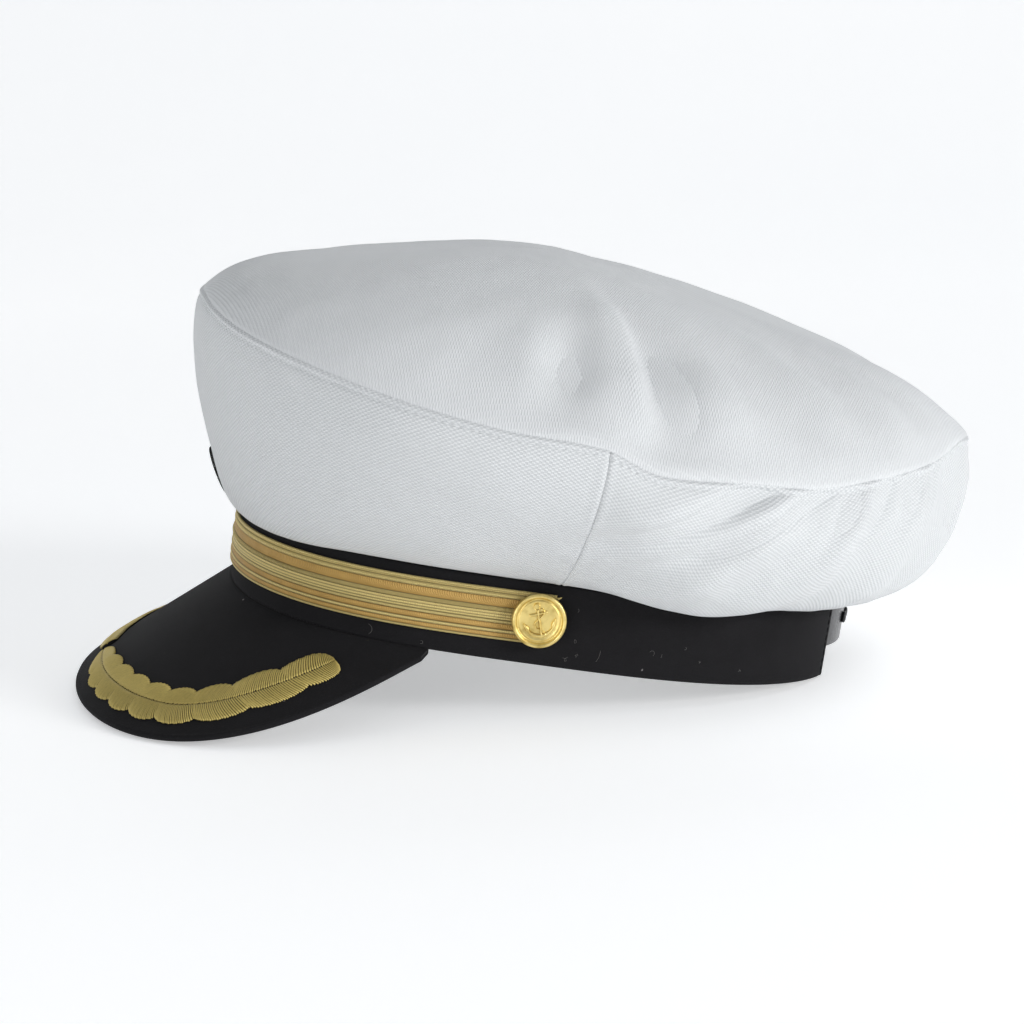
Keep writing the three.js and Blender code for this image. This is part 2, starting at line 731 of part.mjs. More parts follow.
// Strip of the snap strap from a band end to a rounded free end
function strapStrip(root, tip, bend, step) {
  const outer = strapOutward(step, root, bend);
  const inner = (angle) => outer(angle) - STRAP_THICKNESS;
  const half = STRAP_WIDTH / 2;
  const middle = STRAP_LOW + half;
  const round = half / (BAND_LENGTH / 2);
  const halfAt = (angle) => {
    const past = THREE.MathUtils.clamp(1 - Math.abs(tip - angle) / round, 0, 0.97);
    return half * Math.sqrt(1 - past * past);
  };
  const low = (angle) => middle - halfAt(angle);
  const high = (angle) => middle + halfAt(angle);
  const from = Math.min(root, tip);
  const to = Math.max(root, tip);
  return strip(from, to, 26, outer, inner, low, high);
}

// Rod across the strap at an angle, from one radial place to another
function strapRod(angle, radius, inner, outer) {
  const length = outer - inner;
  const rod = new THREE.CylinderGeometry(radius, radius, length, 8);
  const turn = 0.5 * DEG;
  const along = bandPoint(angle + turn, 0, 0).sub(bandPoint(angle - turn, 0, 0)).normalize();
  const out = along.clone().cross(UP);
  const middle = STRAP_LOW + STRAP_WIDTH / 2;
  const frame = new THREE.Matrix4().makeBasis(along, out, UP.clone().negate());
  rod.applyMatrix4(frame);
  const place = bandPoint(angle, (inner + outer) / 2, middle);
  rod.translate(place.x, place.y, place.z);
  return toManifold(rod);
}

// Snap strap: the left strip lies outside and has holes, the right one lies behind it
// and has pegs that stand through them
function makeSnapStrap() {
  const end = rearAngleAt(BAND_OPENING / 2);
  const perMillimetre = 1 / (BAND_LENGTH / 2);
  const root = end - STRAP_TUCK * perMillimetre;
  const overlap = (STRAP_OVERLAP / 2) * perMillimetre;
  const behind = STRAP_THICKNESS + GAP;
  const material = finish(0x101012, 0.18, 0);
  let left = toManifold(strapStrip(root, Math.PI + overlap, Math.PI, 0));
  const rightRoot = 2 * Math.PI - root;
  const rightBend = Math.PI + overlap;
  let right = toManifold(strapStrip(rightRoot, Math.PI - overlap, rightBend, behind));
  for (let i = 0; i < PEG_COUNT; i += 1) {
    const angle = Math.PI + (i - (PEG_COUNT - 1) / 2) * PEG_PITCH * perMillimetre;
    const outerFace = strapBow(angle) - BAND_THICKNESS - GAP;
    const holeInner = outerFace - behind;
    const hole = strapRod(angle, PEG_RADIUS + GAP, holeInner, outerFace + behind);
    left = left.subtract(hole);
    const pegInner = outerFace - behind - STRAP_THICKNESS / 2;
    right = right.add(strapRod(angle, PEG_RADIUS, pegInner, outerFace + PEG_HEAD));
  }
  return [
    piece('snap_strap_left', fromManifold(left), material),
    piece('snap_strap_right', fromManifold(right), material.clone()),
  ];
}

// Pitch at which the hat comes to rest on the visor's edge and the band's rear corners
function restPitch() {
  const heel = bandPoint(rearAngleAt(BAND_OPENING / 2), 0, 0);
  let steepest = 0;
  for (let i = 0; i <= 60; i += 1) {
    const toe = underVisor(visorAlong(i / 60), 1, VISOR_THICKNESS);
    steepest = Math.max(steepest, Math.atan2(-toe.z, heel.y - toe.y));
  }
  return steepest;
}

const hat = new THREE.Group();
hat.add(makeCrownTop());
hat.add(makeCrownFront());
hat.add(makeCrownBack());
hat.add(makeBand());
hat.add(makeBraid());
hat.add(makeVisor());
hat.add(makeSpray('spray_left', 1));
hat.add(makeSpray('spray_right', -1));
hat.add(makeButton('button_left', 1));
hat.add(makeButton('button_right', -1));
hat.add(makeFrontPatch());
hat.add(...makeSnapStrap());

// Set the hat down, with the middle of its box over the origin
hat.rotation.x = -restPitch();
hat.updateMatrixWorld(true);
const box = new THREE.Box3().setFromObject(hat, true);
const centre = box.getCenter(new THREE.Vector3());
hat.position.set(-centre.x, -centre.y, -box.min.z);

const part = new THREE.Group();
part.add(hat);

export default part;
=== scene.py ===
# %% [markdown]
# # Dressing a captain hat
# A captain hat is a soft white crown sewn to a black felt band, with a felt visor, a gold
# braid and gilt buttons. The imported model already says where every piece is, as plain
# solids. This lesson makes the fine surfaces that a camera sees: cloth with creases and
# stitches, embroidery made of single threads, and the finishes of felt, braid and metal.

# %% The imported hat
import json
import math

import bpy
import numpy as np
from mathutils import Matrix, Vector, noise


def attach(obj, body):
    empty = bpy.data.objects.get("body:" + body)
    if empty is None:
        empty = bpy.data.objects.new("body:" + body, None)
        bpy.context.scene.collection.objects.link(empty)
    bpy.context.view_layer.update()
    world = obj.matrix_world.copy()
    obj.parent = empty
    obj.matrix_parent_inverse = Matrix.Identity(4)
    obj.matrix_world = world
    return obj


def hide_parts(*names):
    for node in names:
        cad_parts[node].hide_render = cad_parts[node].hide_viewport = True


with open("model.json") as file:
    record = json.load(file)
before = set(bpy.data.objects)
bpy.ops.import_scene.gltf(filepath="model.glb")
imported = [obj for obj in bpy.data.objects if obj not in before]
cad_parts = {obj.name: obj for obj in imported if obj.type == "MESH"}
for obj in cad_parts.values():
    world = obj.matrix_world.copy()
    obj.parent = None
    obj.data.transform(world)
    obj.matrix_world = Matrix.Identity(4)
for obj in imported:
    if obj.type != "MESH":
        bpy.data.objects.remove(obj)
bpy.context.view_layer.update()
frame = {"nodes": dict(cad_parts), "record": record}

MM = 0.001
DEG = math.pi / 180
TURN = 2 * math.pi
UP = np.array([0, 0, 1])
BODY = "root"
SIDES = ("_left", 1), ("_right", -1)

# %% [markdown]
# The hat was drawn with its band level, and then tipped forward until it rested on the
# visor's edge and the band's rear corners. It is easiest to go on drawing it level. The
# packed band rim says how far it was tipped, and the band's own corners say where it lies,
# so one function brings level millimetres to the resting place in metres.

# %% From the level drawing to the resting place
BAND_LENGTH = 206
rim_axis = frame["record"]["mounts"][0]["axis"]
pitch = math.asin(-rim_axis[1])
tip = np.array(Matrix.Rotation(-pitch, 3, "X"))
band_corners = np.array([v.co for v in frame["nodes"]["band"].data.vertices]) @ tip / MM
rear, bottom = band_corners[:, 1:].min(axis=0)
level_origin = np.array([0, rear + BAND_LENGTH / 2, bottom])


def rest(points):
    """Level points in millimetres, at their resting place in metres"""
    return (np.asarray(points, float) + level_origin) @ tip.T * MM


print("tipped by", round(math.degrees(pitch), 2), "degrees")

# %% [markdown]
# The camera stands at the wearer's left, a little above the floor, as the photograph's
# does. Its place was worked out from the oval of the band, whose size is known.

# %% Camera
CAMERA_PLACE = (0.8800, -0.0370, 0.2043)
CAMERA_ANGLES = 87.74, 9.84, -1.70
CAMERA_LENS = 92.67

azimuth, elevation, roll = (math.radians(x) for x in CAMERA_ANGLES)
back = Vector((
    math.sin(azimuth) * math.cos(elevation),
    -math.cos(azimuth) * math.cos(elevation),
    math.sin(elevation),
))
level_right = Vector((math.cos(azimuth), math.sin(azimuth), 0))
level_up = back.cross(level_right)
right = level_right * math.cos(roll) + level_up * math.sin(roll)
up = level_up * math.cos(roll) - level_right * math.sin(roll)
lens = bpy.data.cameras.new("camera")
lens.sensor_width = 36
lens.lens = CAMERA_LENS
lens.clip_start, lens.clip_end = 0.01, 50
camera = bpy.data.objects.new("camera", lens)
facing = Matrix((right, up, back)).transposed().to_4x4()
camera.matrix_world = Matrix.Translation(CAMERA_PLACE) @ facing
bpy.context.scene.collection.objects.link(camera)
bpy.context.scene.camera = camera
print("camera at", [round(x, 3) for x in camera.location])

# %% [markdown]
# Tables describe what has no formula, such as the height of the seam all round. A smooth
# curve runs through the rows of a table, flat at both ends. Folds are bells: a number that
# is 1 in the middle of the fold and dies away at its width.

# %% Curves through tables


def table(names, rows):
    """Rows of numbers as one array for each named column"""
    return dict(zip(names.split(), np.array(rows, float).T))


def column(rows, key, place):
    """One column of a table between its rows, on a smooth curve"""
    at, value = rows["at"], rows[key]
    i = np.clip(np.searchsorted(at, place, side="left") - 1, 0, len(at) - 2)
    span = at[i + 1] - at[i]
    s = np.clip((place - at[i]) / span, 0, 1)
    slope = np.zeros(len(at))
    slope[1:-1] = (value[2:] - value[:-2]) / (at[2:] - at[:-2])
    s2, s3 = s * s, s * s * s
    start = (2 * s3 - 3 * s2 + 1) * value[i] + (s3 - 2 * s2 + s) * slope[i] * span
    end = (3 * s2 - 2 * s3) * value[i + 1] + (s3 - s2) * slope[i + 1] * span
    return start + end


def smooth(x, low, high):
    """0 below low, 1 above high, and a soft step between them"""
    s = np.clip((x - low) / (high - low), 0, 1)
    return s * s * (3 - 2 * s)


def bell(distance, width):
    return np.exp(-((distance / width) ** 2))


def stack(x, y, z):
    return np.stack(np.broadcast_arrays(x, y, z), axis=-1)


def unit(vectors):
    return vectors / np.maximum(np.linalg.norm(vectors, axis=-1, keepdims=True), 1e-12)


print("a bell is 1 in its middle and", round(float(bell(1, 1)), 3), "one width away")

# %% [markdown]
# The band is an oval that is a little squarer at its sides than an ellipse and wider at the
# front. A point of it is asked for by the angle at which the middle of the hat sees it, 0 at
# the front and a quarter turn at the wearer's left, and halving the interval finds it.

# %% The band's oval
BAND_WIDTH, BAND_HEIGHT, BAND_THICKNESS = 167, 26, 3
BAND_NOSE, BAND_FLANK, BAND_EGG = 2.1, 3, 0.05
BAND_OPENING = 78
GAP = 0.3


def turn_from(angle):
    """Degrees from the front, the same on both sides"""
    return np.abs(np.arctan2(np.sin(angle), np.cos(angle))) / DEG


def oval(angle, half_length, half_width, nose, flank, egg):
    """Points of an oval at angles from its front"""
    wrapped = np.arctan2(np.sin(angle), np.cos(angle))
    turn, sign = np.abs(wrapped), np.sign(wrapped)

    def point(t):
        s, c = np.sin(t), np.cos(t)
        x = half_width * (1 + egg * c) * np.abs(s) ** (2 / nose)
        return x, -half_length * np.sign(c) * np.abs(c) ** (2 / flank)

    low, high = np.zeros_like(turn), np.full_like(turn, math.pi)
    for _ in range(40):
        middle = (low + high) / 2
        x, y = point(middle)
        before = np.arctan2(x, -y) < turn
        low, high = np.where(before, middle, low), np.where(before, high, middle)
    x, y = point((low + high) / 2)
    return x * sign, y


def band(angle, outward, z):
    """Point on the band's oval, moved outwards from the band's outer face"""
    length, width = BAND_LENGTH / 2 + outward, BAND_WIDTH / 2 + outward
    angle = angle * np.ones_like(outward * 1.0)
    x, y = oval(angle, length, width, BAND_NOSE, BAND_FLANK, BAND_EGG)
    return stack(x, y, z)


def beside(angle):
    """Directions along the band and out from it"""
    along = unit(band(np.array(angle + 0.01), 0, 0) - band(np.array(angle - 0.01), 0, 0))
    return along, np.cross(along, UP)


def rear_angle(half_width):
    """Angle at which the band's outer face is this far from the middle plane, at the rear"""
    near, far = math.pi / 2, math.pi
    for _ in range(40):
        middle = (near + far) / 2
        if band(np.array(middle), 0, 0)[0] > half_width:
            near = middle
        else:
            far = middle
    return near


band_end = rear_angle(BAND_OPENING / 2)
band_radius = BAND_LENGTH / 2
print("band ends at", round(band_end / DEG, 1), "degrees from the front")

# %% [markdown]
# A mesh is made from arrays of points and faces. The first two makers below close a sheet:
# one joins an outer and an inner grid by four rims, and the other does it for a round
# sheet. The third one makes threads, which are half-round bodies that lie on a surface.
# Stitches, embroidery and the anchors' relief are all threads of different sizes.

# %% Makers of meshes


def mesh_object(name, points, faces, flat_map=None):
    """Object from points in metres and lists of faces, with an optional flat map of points"""
    mesh = bpy.data.meshes.new(name)
    corners = np.concatenate([np.asarray(f).ravel() for f in faces]).astype(np.int32)
    counts = np.concatenate([np.full(len(f), np.shape(f)[1]) for f in faces])
    mesh.vertices.add(len(points))
    mesh.vertices.foreach_set("co", np.asarray(points, np.float32).ravel())
    mesh.loops.add(len(corners))
    mesh.loops.foreach_set("vertex_index", corners)
    mesh.polygons.add(len(counts))
    starts = np.concatenate([[0], np.cumsum(counts)[:-1]])
    mesh.polygons.foreach_set("loop_start", starts.astype(np.int32))
    mesh.polygons.foreach_set("use_smooth", np.ones(len(counts), bool))
    if flat_map is not None:
        layer = mesh.uv_layers.new(name="cloth")
        layer.data.foreach_set("uv", np.asarray(flat_map, np.float32)[corners].ravel())
    mesh.update(calc_edges=True)
    mesh.validate()
    made = bpy.data.objects.new(name, mesh)
    bpy.context.scene.collection.objects.link(made)
    print(name, "has", int((counts - 2).sum()), "triangles")
    return made


def grid_faces(rows, columns, first=0, flip=False):
    """Faces of a grid of points"""
    i, j = np.meshgrid(np.arange(columns - 1), np.arange(rows - 1))
    a = first + (j * columns + i).ravel()
    quads = np.stack([a, a + 1, a + 1 + columns, a + columns], axis=1)
    return quads[:, ::-1] if flip else quads


def ring_faces(rings, around, first=0, flip=False):
    """Faces of rings of points that follow each other, for each first point"""
    j, i = np.meshgrid(np.arange(rings - 1), np.arange(around), indexing="ij")
    a, b = first + j * around + i, first + j * around + (i + 1) % around
    quads = [a, b, b + around, a + around] if flip else [a, a + around, b + around, b]
    return np.stack(quads, axis=-1).reshape(-1, 4)


def closed_sheet(name, outer, inner, flat_map=None):
    """Sheet between two grids of points. From outside, columns run right and rows run up."""
    rows, columns = outer.shape[:2]
    side = rows * columns
    index = np.arange(side).reshape(rows, columns)
    ring = np.concatenate([index[0, :-1], index[:-1, -1], index[-1, :0:-1], index[:0:-1, 0]])
    after = np.roll(ring, -1)
    rim = np.stack([ring, ring + side, after + side, after], axis=1)
    faces = [grid_faces(rows, columns), grid_faces(rows, columns, side, True), rim]
    points = rest(np.concatenate([outer.reshape(-1, 3), inner.reshape(-1, 3)]))
    if flat_map is not None:
        flat_map = np.tile(flat_map.reshape(-1, 2), (2, 1))
    return mesh_object(name, points, faces, flat_map)


def closed_disc(name, outer, inner, flat_map):
    """Round sheet between two sets of rings. The first ring of each is one repeated point."""
    rings, around = outer.shape[0] - 1, outer.shape[1]
    i = np.arange(around)
    after = (i + 1) % around
    faces = []
    for first, order in ((0, 1), (1 + rings * around, -1)):
        hub = np.stack([np.full(around, first), first + 1 + i, first + 1 + after], axis=1)
        faces += [hub[:, ::order], ring_faces(rings, around, first + 1)[:, ::order]]
    last = 1 + (rings - 1) * around
    other = last + 1 + rings * around
    faces.append(np.stack([last + i, other + i, other + after, last + after], axis=1))
    once = lambda grid: [grid[:1, 0], grid[1:].reshape(-1, grid.shape[-1])]
    points = np.concatenate(once(outer) + once(inner))
    return mesh_object(name, rest(points), faces, np.concatenate(once(flat_map) * 2))


THREAD_PROFILE = np.array([(-1, 0), (-0.72, 0.66), (0, 1), (0.72, 0.66), (1, 0)])


def threads(name, paths, normals, half_width, height, flat_map=False):
    """Half-round bodies along paths, an array of (thread, point, 3) in level millimetres"""
    paths, normals = np.asarray(paths, float), np.asarray(normals, float)
    count, steps = paths.shape[:2]
    ahead = unit(np.gradient(paths, axis=1))
    side = unit(np.cross(ahead, normals))
    wide = np.broadcast_to(half_width, (count, steps))[..., None, None]
    tall = np.broadcast_to(height, (count, steps))[..., None, None]
    across, rise = THREAD_PROFILE[:, :1], THREAD_PROFILE[:, 1:]
    body = paths[:, :, None] + side[:, :, None] * wide * across + normals[:, :, None] * tall * rise
    ring = body.shape[2]
    start = (np.arange(count) * steps * ring)[:, None, None]
    heads = start[:, :, 0] + np.arange(ring)
    faces = [ring_faces(steps, ring, start), heads, heads[:, ::-1] + (steps - 1) * ring]
    uv = None
    if flat_map:
        along = np.linspace(0, 1, steps)[:, None] + np.arange(count)[:, None, None]
        uv = np.stack(np.broadcast_arrays(along, np.arange(ring) / 4), -1).reshape(-1, 2)
    return mesh_object(name, rest(body.reshape(-1, 3)), faces, uv)


def wear(piece, material, slot, *nodes):
    """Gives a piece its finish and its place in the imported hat"""
    piece.data.materials.clear()
    piece.data.materials.append(material)
    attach(piece, BODY)
    if nodes:
        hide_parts(*nodes)
    return piece


print("a thread has", len(THREAD_PROFILE), "points round it")

# %% [markdown]
# Finishes are sums of patterns, so they are easiest to read as formulas. A Wire holds a
# socket of the shader, and adding or multiplying wires adds Math nodes. Every other node
# comes from one method of the Finish, which first sets the node and then fills its sockets.

# %% Wires and finishes


class Wire:
    """A socket whose sums and products are Math nodes"""

    def __init__(self, finish, socket):
        self.finish, self.socket = finish, socket

    def maths(self, operation, *values):
        return self.finish.node("Math", {"operation": operation}, dict(enumerate(values)))

    def __add__(self, other):
        return self.maths("ADD", self, other)

    def __sub__(self, other):
        return self.maths("SUBTRACT", self, other)

    def __rsub__(self, other):
        return self.maths("SUBTRACT", other, self)

    def __mul__(self, other):
        return self.maths("MULTIPLY", self, other)

    __radd__ = __add__
    __rmul__ = __mul__

    def sine(self):
        return self.maths("SINE", self)

    def size(self):
        return self.maths("ABSOLUTE", self)

    def step(self, low, high):
        sockets = {"Value": self, "From Min": low, "From Max": high}
        return self.finish.node("MapRange", {"interpolation_type": "SMOOTHSTEP"}, sockets)


class Finish:
    """A material with one shader, and the method that adds nodes to it"""

    def __init__(self, name):
        self.material = bpy.data.materials.new(name)
        self.material.use_nodes = True
        self.nodes = self.material.node_tree.nodes
        self.shader = self.nodes["Principled BSDF"]

    def node(self, kind, settings=None, sockets=None, output=0):
        made = self.nodes.new("ShaderNode" + kind)
        for key, value in (settings or {}).items():
            setattr(made, key, value)
        self.fill(made, sockets or {})
        return Wire(self, made.outputs[output])

    def fill(self, made, sockets):
        for key, value in sockets.items():
            if isinstance(value, Wire):
                self.material.node_tree.links.new(value.socket, made.inputs[key])
            else:
                made.inputs[key].default_value = value

    def place(self):
        """The point of the object being coloured, in metres"""
        return self.node("TexCoord", output="Object")

    def flat(self):
        """The two numbers of the piece's flat map"""
        both = self.node("SeparateXYZ", {}, {0: self.node("UVMap", {"uv_map": "cloth"})})
        return both, Wire(self, both.socket.node.outputs[1])

    def clouds(self, size, detail=2.0, seed=0.0):
        """Soft random numbers from 0 to 1 whose blots are about this many metres wide"""
        settings = {"noise_dimensions": "4D"}
        sockets = {"Vector": self.place(), "Scale": 1 / size, "Detail": detail, "W": seed}
        return self.node("TexNoise", settings, sockets)

    def blend(self, share, colour_a, colour_b):
        settings = {"data_type": "RGBA"}
        return self.node("Mix", settings, {0: share, 6: colour_a, 7: colour_b}, output=2)

    def bump(self, height, depth):
        """Normal of a surface whose height, from 0 to 1, is this many metres deep"""
        return self.node("Bump", {}, {"Height": height, "Distance": depth, "Strength": 1.0})

    def done(self, **sockets):
        self.fill(self.shader, {key.replace("_", " "): value for key, value in sockets.items()})
        print("finish", self.material.name, "has", len(self.nodes), "nodes")
        return self.material


def colour(red, green, blue):
    return (red, green, blue, 1.0)


# %% [markdown]
# The white cloth is a cotton pique: small diamonds woven into the side panels, and a finer
# twill on the top. Both patterns are sums of waves over the flat map of the cloth, which is
# in millimetres, so they keep their size on every panel. The waves go to a Bump node, and
# the little valleys also get a bit of painted shade in their colour.

# %% White cloth
WHITE = colour(0.74, 0.755, 0.765)
# The colour of the painted shade in the valleys of the weave
WHITE_IN_PAINTED_SHADE = colour(0.52, 0.54, 0.555)


def white_cloth(name, wave_u, wave_v, depth, valley_shade):
    """Cotton with waves of two lengths in millimetres, a depth in metres, and a share of painted
    shade for the valleys
    """
    finish = Finish(name)
    u, v = finish.flat()
    rising = (u * (TURN / wave_u) + v * (TURN / wave_v)).sine()
    falling = (u * (TURN / wave_u) - v * (TURN / wave_v)).sine()
    diamonds = ((rising + falling) * 0.25 + 0.5).step(0.25, 0.8)
    slub = finish.clouds(0.0016, 3.0)
    wide = finish.clouds(0.03, 2.0, 4.0)
    height = diamonds * 0.8 + slub * 0.35
    # Painted shade darkens the valleys of the weave and, a little, the low places of the slub; the
    # wide clouds are the cloth's own uneven tone
    painted_shade_and_tone = (1 - diamonds) * valley_shade + (1 - slub) * 0.08 + (wide - 0.5) * 0.1
    return finish.done(
        Base_Color=finish.blend(painted_shade_and_tone.step(0.0, 1.0), WHITE, WHITE_IN_PAINTED_SHADE),
        Roughness=0.85 + slub * 0.1,
        Normal=finish.bump(height, depth),
        Sheen_Weight=0.15,
        Sheen_Roughness=0.5,
    )


pique = white_cloth("white_pique", 1.9, 1.25, 0.00022, 0.5)
twill = white_cloth("white_twill", 2.4, 0.85, 0.00014, 0.32)

# %% [markdown]
# Black felt is thousands of short dark hairs. Close up it is a matt surface with a soft
# pale sheen at grazing angles, a little cloudiness where the pile lies differently, and a
# few pale specks of lint that it has caught.

# %% Black felt
FELT_DARK = colour(0.0065, 0.0063, 0.0068)
FELT_LIGHT = colour(0.017, 0.0165, 0.018)
LINT = colour(0.16, 0.15, 0.15)


def black_felt(name, lint_share):
    finish = Finish(name)
    pile = finish.clouds(0.0005, 3.0)
    drift = finish.clouds(0.012, 3.0, 2.0)
    specks = finish.clouds(0.0022, 1.0, 7.0).step(1 - lint_share, 1 - lint_share + 0.03)
    tone = finish.blend(pile * 0.5 + drift * 0.5, FELT_DARK, FELT_LIGHT)
    return finish.done(
        Base_Color=finish.blend(specks, tone, LINT),
        Roughness=0.95,
        Normal=finish.bump(pile * 0.8 + finish.clouds(0.0002, 2.0, 5.0) * 0.4, 0.00018),
        Specular_IOR_Level=0.1,
        Sheen_Weight=0.03,
        Sheen_Roughness=0.4,
    )


felt = black_felt("black_felt", 0.22)

# %% [markdown]
# The crown's side wall leaves the band, leans out and turns in again at the upper seam.
# Each section is a cubic curve whose two handles come from a table, so the wall is stiff
# and nearly straight at the front and hangs in a soft roll over the band at the rear.

# %% The crown's wall
CLOTH = 1.5
SEAM_OPEN = 0.04
CROWN_LENGTH, CROWN_WIDTH, CROWN_NOSE, CROWN_REACH_BACK = 259, 238, 2.1, 4.5
CROWN_HEIGHT, CREST_HEIGHT, CREST_FORWARD = 68, 96.75, 11.8
WALL_BULGE, FOLD_DEPTH, SIDE_SEAM = 20, 3, 90.5

SEAM_LINE = table("at height", [
    [0, 1.0],
    [10, 1.0],
    [18, 0.962],
    [30, 0.906],
    [45, 0.842],
    [60, 0.776],
    [75, 0.732],
    [90, 0.715],
    [98, 0.635],
    [112, 0.648],
    [122, 0.648],
    [135, 0.713],
    [147, 0.78],
    [158, 0.865],
    [180, 0.845],
])
WALL_SECTIONS = table("at low_out low_up belly_out belly_down", [
    [0, 0.3, -0.25, 0.36, 0.85],
    [30, 0.5, -0.5, 0.15, 0.93],
    [60, 0.4, -0.05, 0.3, 0.83],
    [90, 0.43, 0.1, 0.34, 0.82],
    [112, 0.7, -0.65, 0.6, 0.98],
    [135, 0.5, -0.35, 0.75, 1.06],
    [158, 1.0, -0.35, 0.45, 1.2],
    [180, 0.9, -0.6, 0.6, 1.07],
])
WALL_FOLDS = table("top foot width start stop rise", [
    [113, 92, 4.5, 0.25, 1.0, -0.8],
    [119, 101, 4.0, 0.2, 0.95, 0.55],
    [125, 108, 4.5, 0.2, 1.0, -0.9],
    [131, 121, 4.0, 0.2, 0.95, 0.6],
    [137, 130, 4.5, 0.3, 1.0, -0.8],
    [145, 140, 4.5, 0.25, 0.95, 0.6],
    [152, 149, 4.5, 0.3, 1.0, -0.8],
    [163, 160, 5.0, 0.3, 0.95, 0.5],
    [172, 172, 5.0, 0.3, 1.0, -0.7],
])
WALL_CREASES = table("top foot width start stop rise", [
    [36.4, 68, 3.5, 0.8, 1.0, -0.3],
    [107, 66, 4.0, 0.6, 0.95, 0.5],
    [114.2, 71, 3.2, 0.55, 1.1, -1.3],
    [119.5, 73.5, 3.0, 0.62, 1.0, 0.6],
    [124.4, 76, 2.8, 0.62, 1.1, -1.25],
    [129.5, 113, 1.8, 0.7, 1.15, -0.75],
    [136.2, 123, 1.9, 0.68, 1.15, -1.0],
    [142.2, 130, 1.6, 0.72, 1.15, -0.7],
    [147, 138, 1.6, 0.72, 1.15, -0.65],
    [150.6, 175, 2.4, 0.6, 0.95, -0.7],
    [158, 158, 2.0, 0.75, 1.05, -0.5],
    [166, 162, 1.8, 0.75, 1.05, -0.5],
    [174, 174, 2.0, 0.7, 1.05, -0.5],
])


def seam(angle):
    """The seam between the crown's wall and its top"""
    x, y = oval(angle, CROWN_LENGTH / 2, CROWN_WIDTH / 2, CROWN_NOSE, CROWN_NOSE, 0)
    z = BAND_HEIGHT + CROWN_HEIGHT * column(SEAM_LINE, "height", turn_from(angle))
    return stack(x, y + CROWN_REACH_BACK, z)


def wall_fold(turn, v, folds=WALL_FOLDS):
    """Height of the wall's folds, each a bell along its own line from foot to top"""
    total = 0
    for top, foot, width, start, stop, rise in zip(*folds.values()):
        middle = foot + (top - foot) * v
        enter = smooth(v, start - 0.2, start + 0.2)
        leave = 1 - smooth(v, stop - 0.15, stop + 0.08)
        total = total + rise * bell(turn - middle, width) * enter * leave
    return total * FOLD_DEPTH


def wall(angle, v):
    """Outer face of the crown's wall, v from 0 at the band to 1 at the upper seam"""
    angle, v = np.broadcast_arrays(np.asarray(angle, float), np.asarray(v, float))
    turn = turn_from(angle)
    foot = band(angle, GAP, BAND_HEIGHT + GAP)
    head = seam(angle) - (0, 0, SEAM_OPEN)
    out = unit((head - foot) * (1, 1, 0))
    share = lambda key: (column(WALL_SECTIONS, key, turn) * WALL_BULGE)[..., None]
    low = foot + out * share("low_out") + share("low_up") * UP
    belly = head + out * share("belly_out") - share("belly_down") * UP
    t = v[..., None]
    s = 1 - t
    point = foot * s**3 + low * 3 * s * s * t + belly * 3 * s * t * t + head * t**3
    return point + out * wall_fold(turn, v)[..., None]


def normals_of(surface, u, v, step_u, step_v, low_v, high_v):
    """Unit normals of a surface given as a function of two numbers"""
    above, below = np.minimum(v + step_v, high_v), np.maximum(v - step_v, low_v)
    along_u = surface(u + step_u, v) - surface(u - step_u, v)
    along_v = surface(u, above) - surface(u, below)
    return unit(np.cross(along_u, along_v))


def wall_normal(angle, v):
    return normals_of(wall, angle, v, 0.5 * DEG, 0.01, 0, 1)


# %% [markdown]
# Sewing shows beside every seam. The cloth rolls in to the seam itself, stands up in a
# small ridge over the folded edges inside, and is pulled down again by the row of stitches
# two millimetres away, tighter at each stitch. The panels use these small heights too, so
# that the stitches sit in their own groove.

# %% Sewn edges
STITCH_FROM_SEAM = 2.3
STITCH_PITCH = 2.9


def rumple(points, size, seed):
    """Smooth random heights from -1 to 1 for points in millimetres"""
    flat = points.reshape(-1, 3) / size + seed * 7.3
    return np.array([noise.noise(Vector(p)) for p in flat]).reshape(points.shape[:-1])


def sewn_edge(distance, along):
    """Height of the cloth at a distance from a seam, in millimetres"""
    pull = 0.75 + 0.25 * np.cos(along * TURN / STITCH_PITCH)
    roll = -0.3 * bell(distance, 0.45)
    ridge = 0.42 * bell(distance - 1.15, 0.7)
    groove = -0.42 * pull * bell(distance - STITCH_FROM_SEAM, 0.6)
    return roll + ridge + groove


def length_along(points, axis):
    """Distance run along a grid of points"""
    steps = np.linalg.norm(np.diff(points, axis=axis), axis=-1)
    start = np.zeros_like(np.take(steps, [0], axis=axis))
    return np.concatenate([start, np.cumsum(steps, axis=axis)], axis=axis)


def wall_panel(name, start, stop, columns, rows):
    """Panel of the crown's wall between two angles, sewn at its top and both its ends"""
    clear = SEAM_OPEN / CROWN_WIDTH
    angle = np.linspace(start + clear, stop - clear, columns)[None, :]
    share = np.linspace(0, 1, rows)[:, None]
    v = 1 - (1 - share) ** 1.5
    turn = turn_from(angle)
    bare = wall(angle, v)
    normal = wall_normal(angle, v)
    v_map = length_along(bare, 0)
    u_map = np.broadcast_to(length_along(bare, 1)[rows // 2], v_map.shape)
    to_seam = v_map[-1] - v_map
    to_end = np.minimum(u_map, u_map[:, -1:] - u_map)
    height = sewn_edge(to_seam, u_map) - 0.16 * bell(to_end, 0.4) + 0.2 * bell(to_end - 1.3, 0.8)
    soft = smooth(turn, 85, 125)
    wave = rumple(bare, 24, 1) * (0.5 + 0.9 * soft) + rumple(bare, 9, 2) * (0.12 + 0.3 * soft)
    calm = smooth(to_seam, 0, 6) * smooth(v, 0.0, 0.12)
    creases = wall_fold(turn, v, WALL_CREASES) * smooth(to_seam, 0, 2.5)
    height = height + wave * calm + creases
    outer = bare + normal * height[..., None]
    inner = bare - normal * CLOTH
    sewn_panels[name] = outer, normal, v_map
    return closed_sheet(name, outer, inner, np.stack([u_map, v_map], -1))


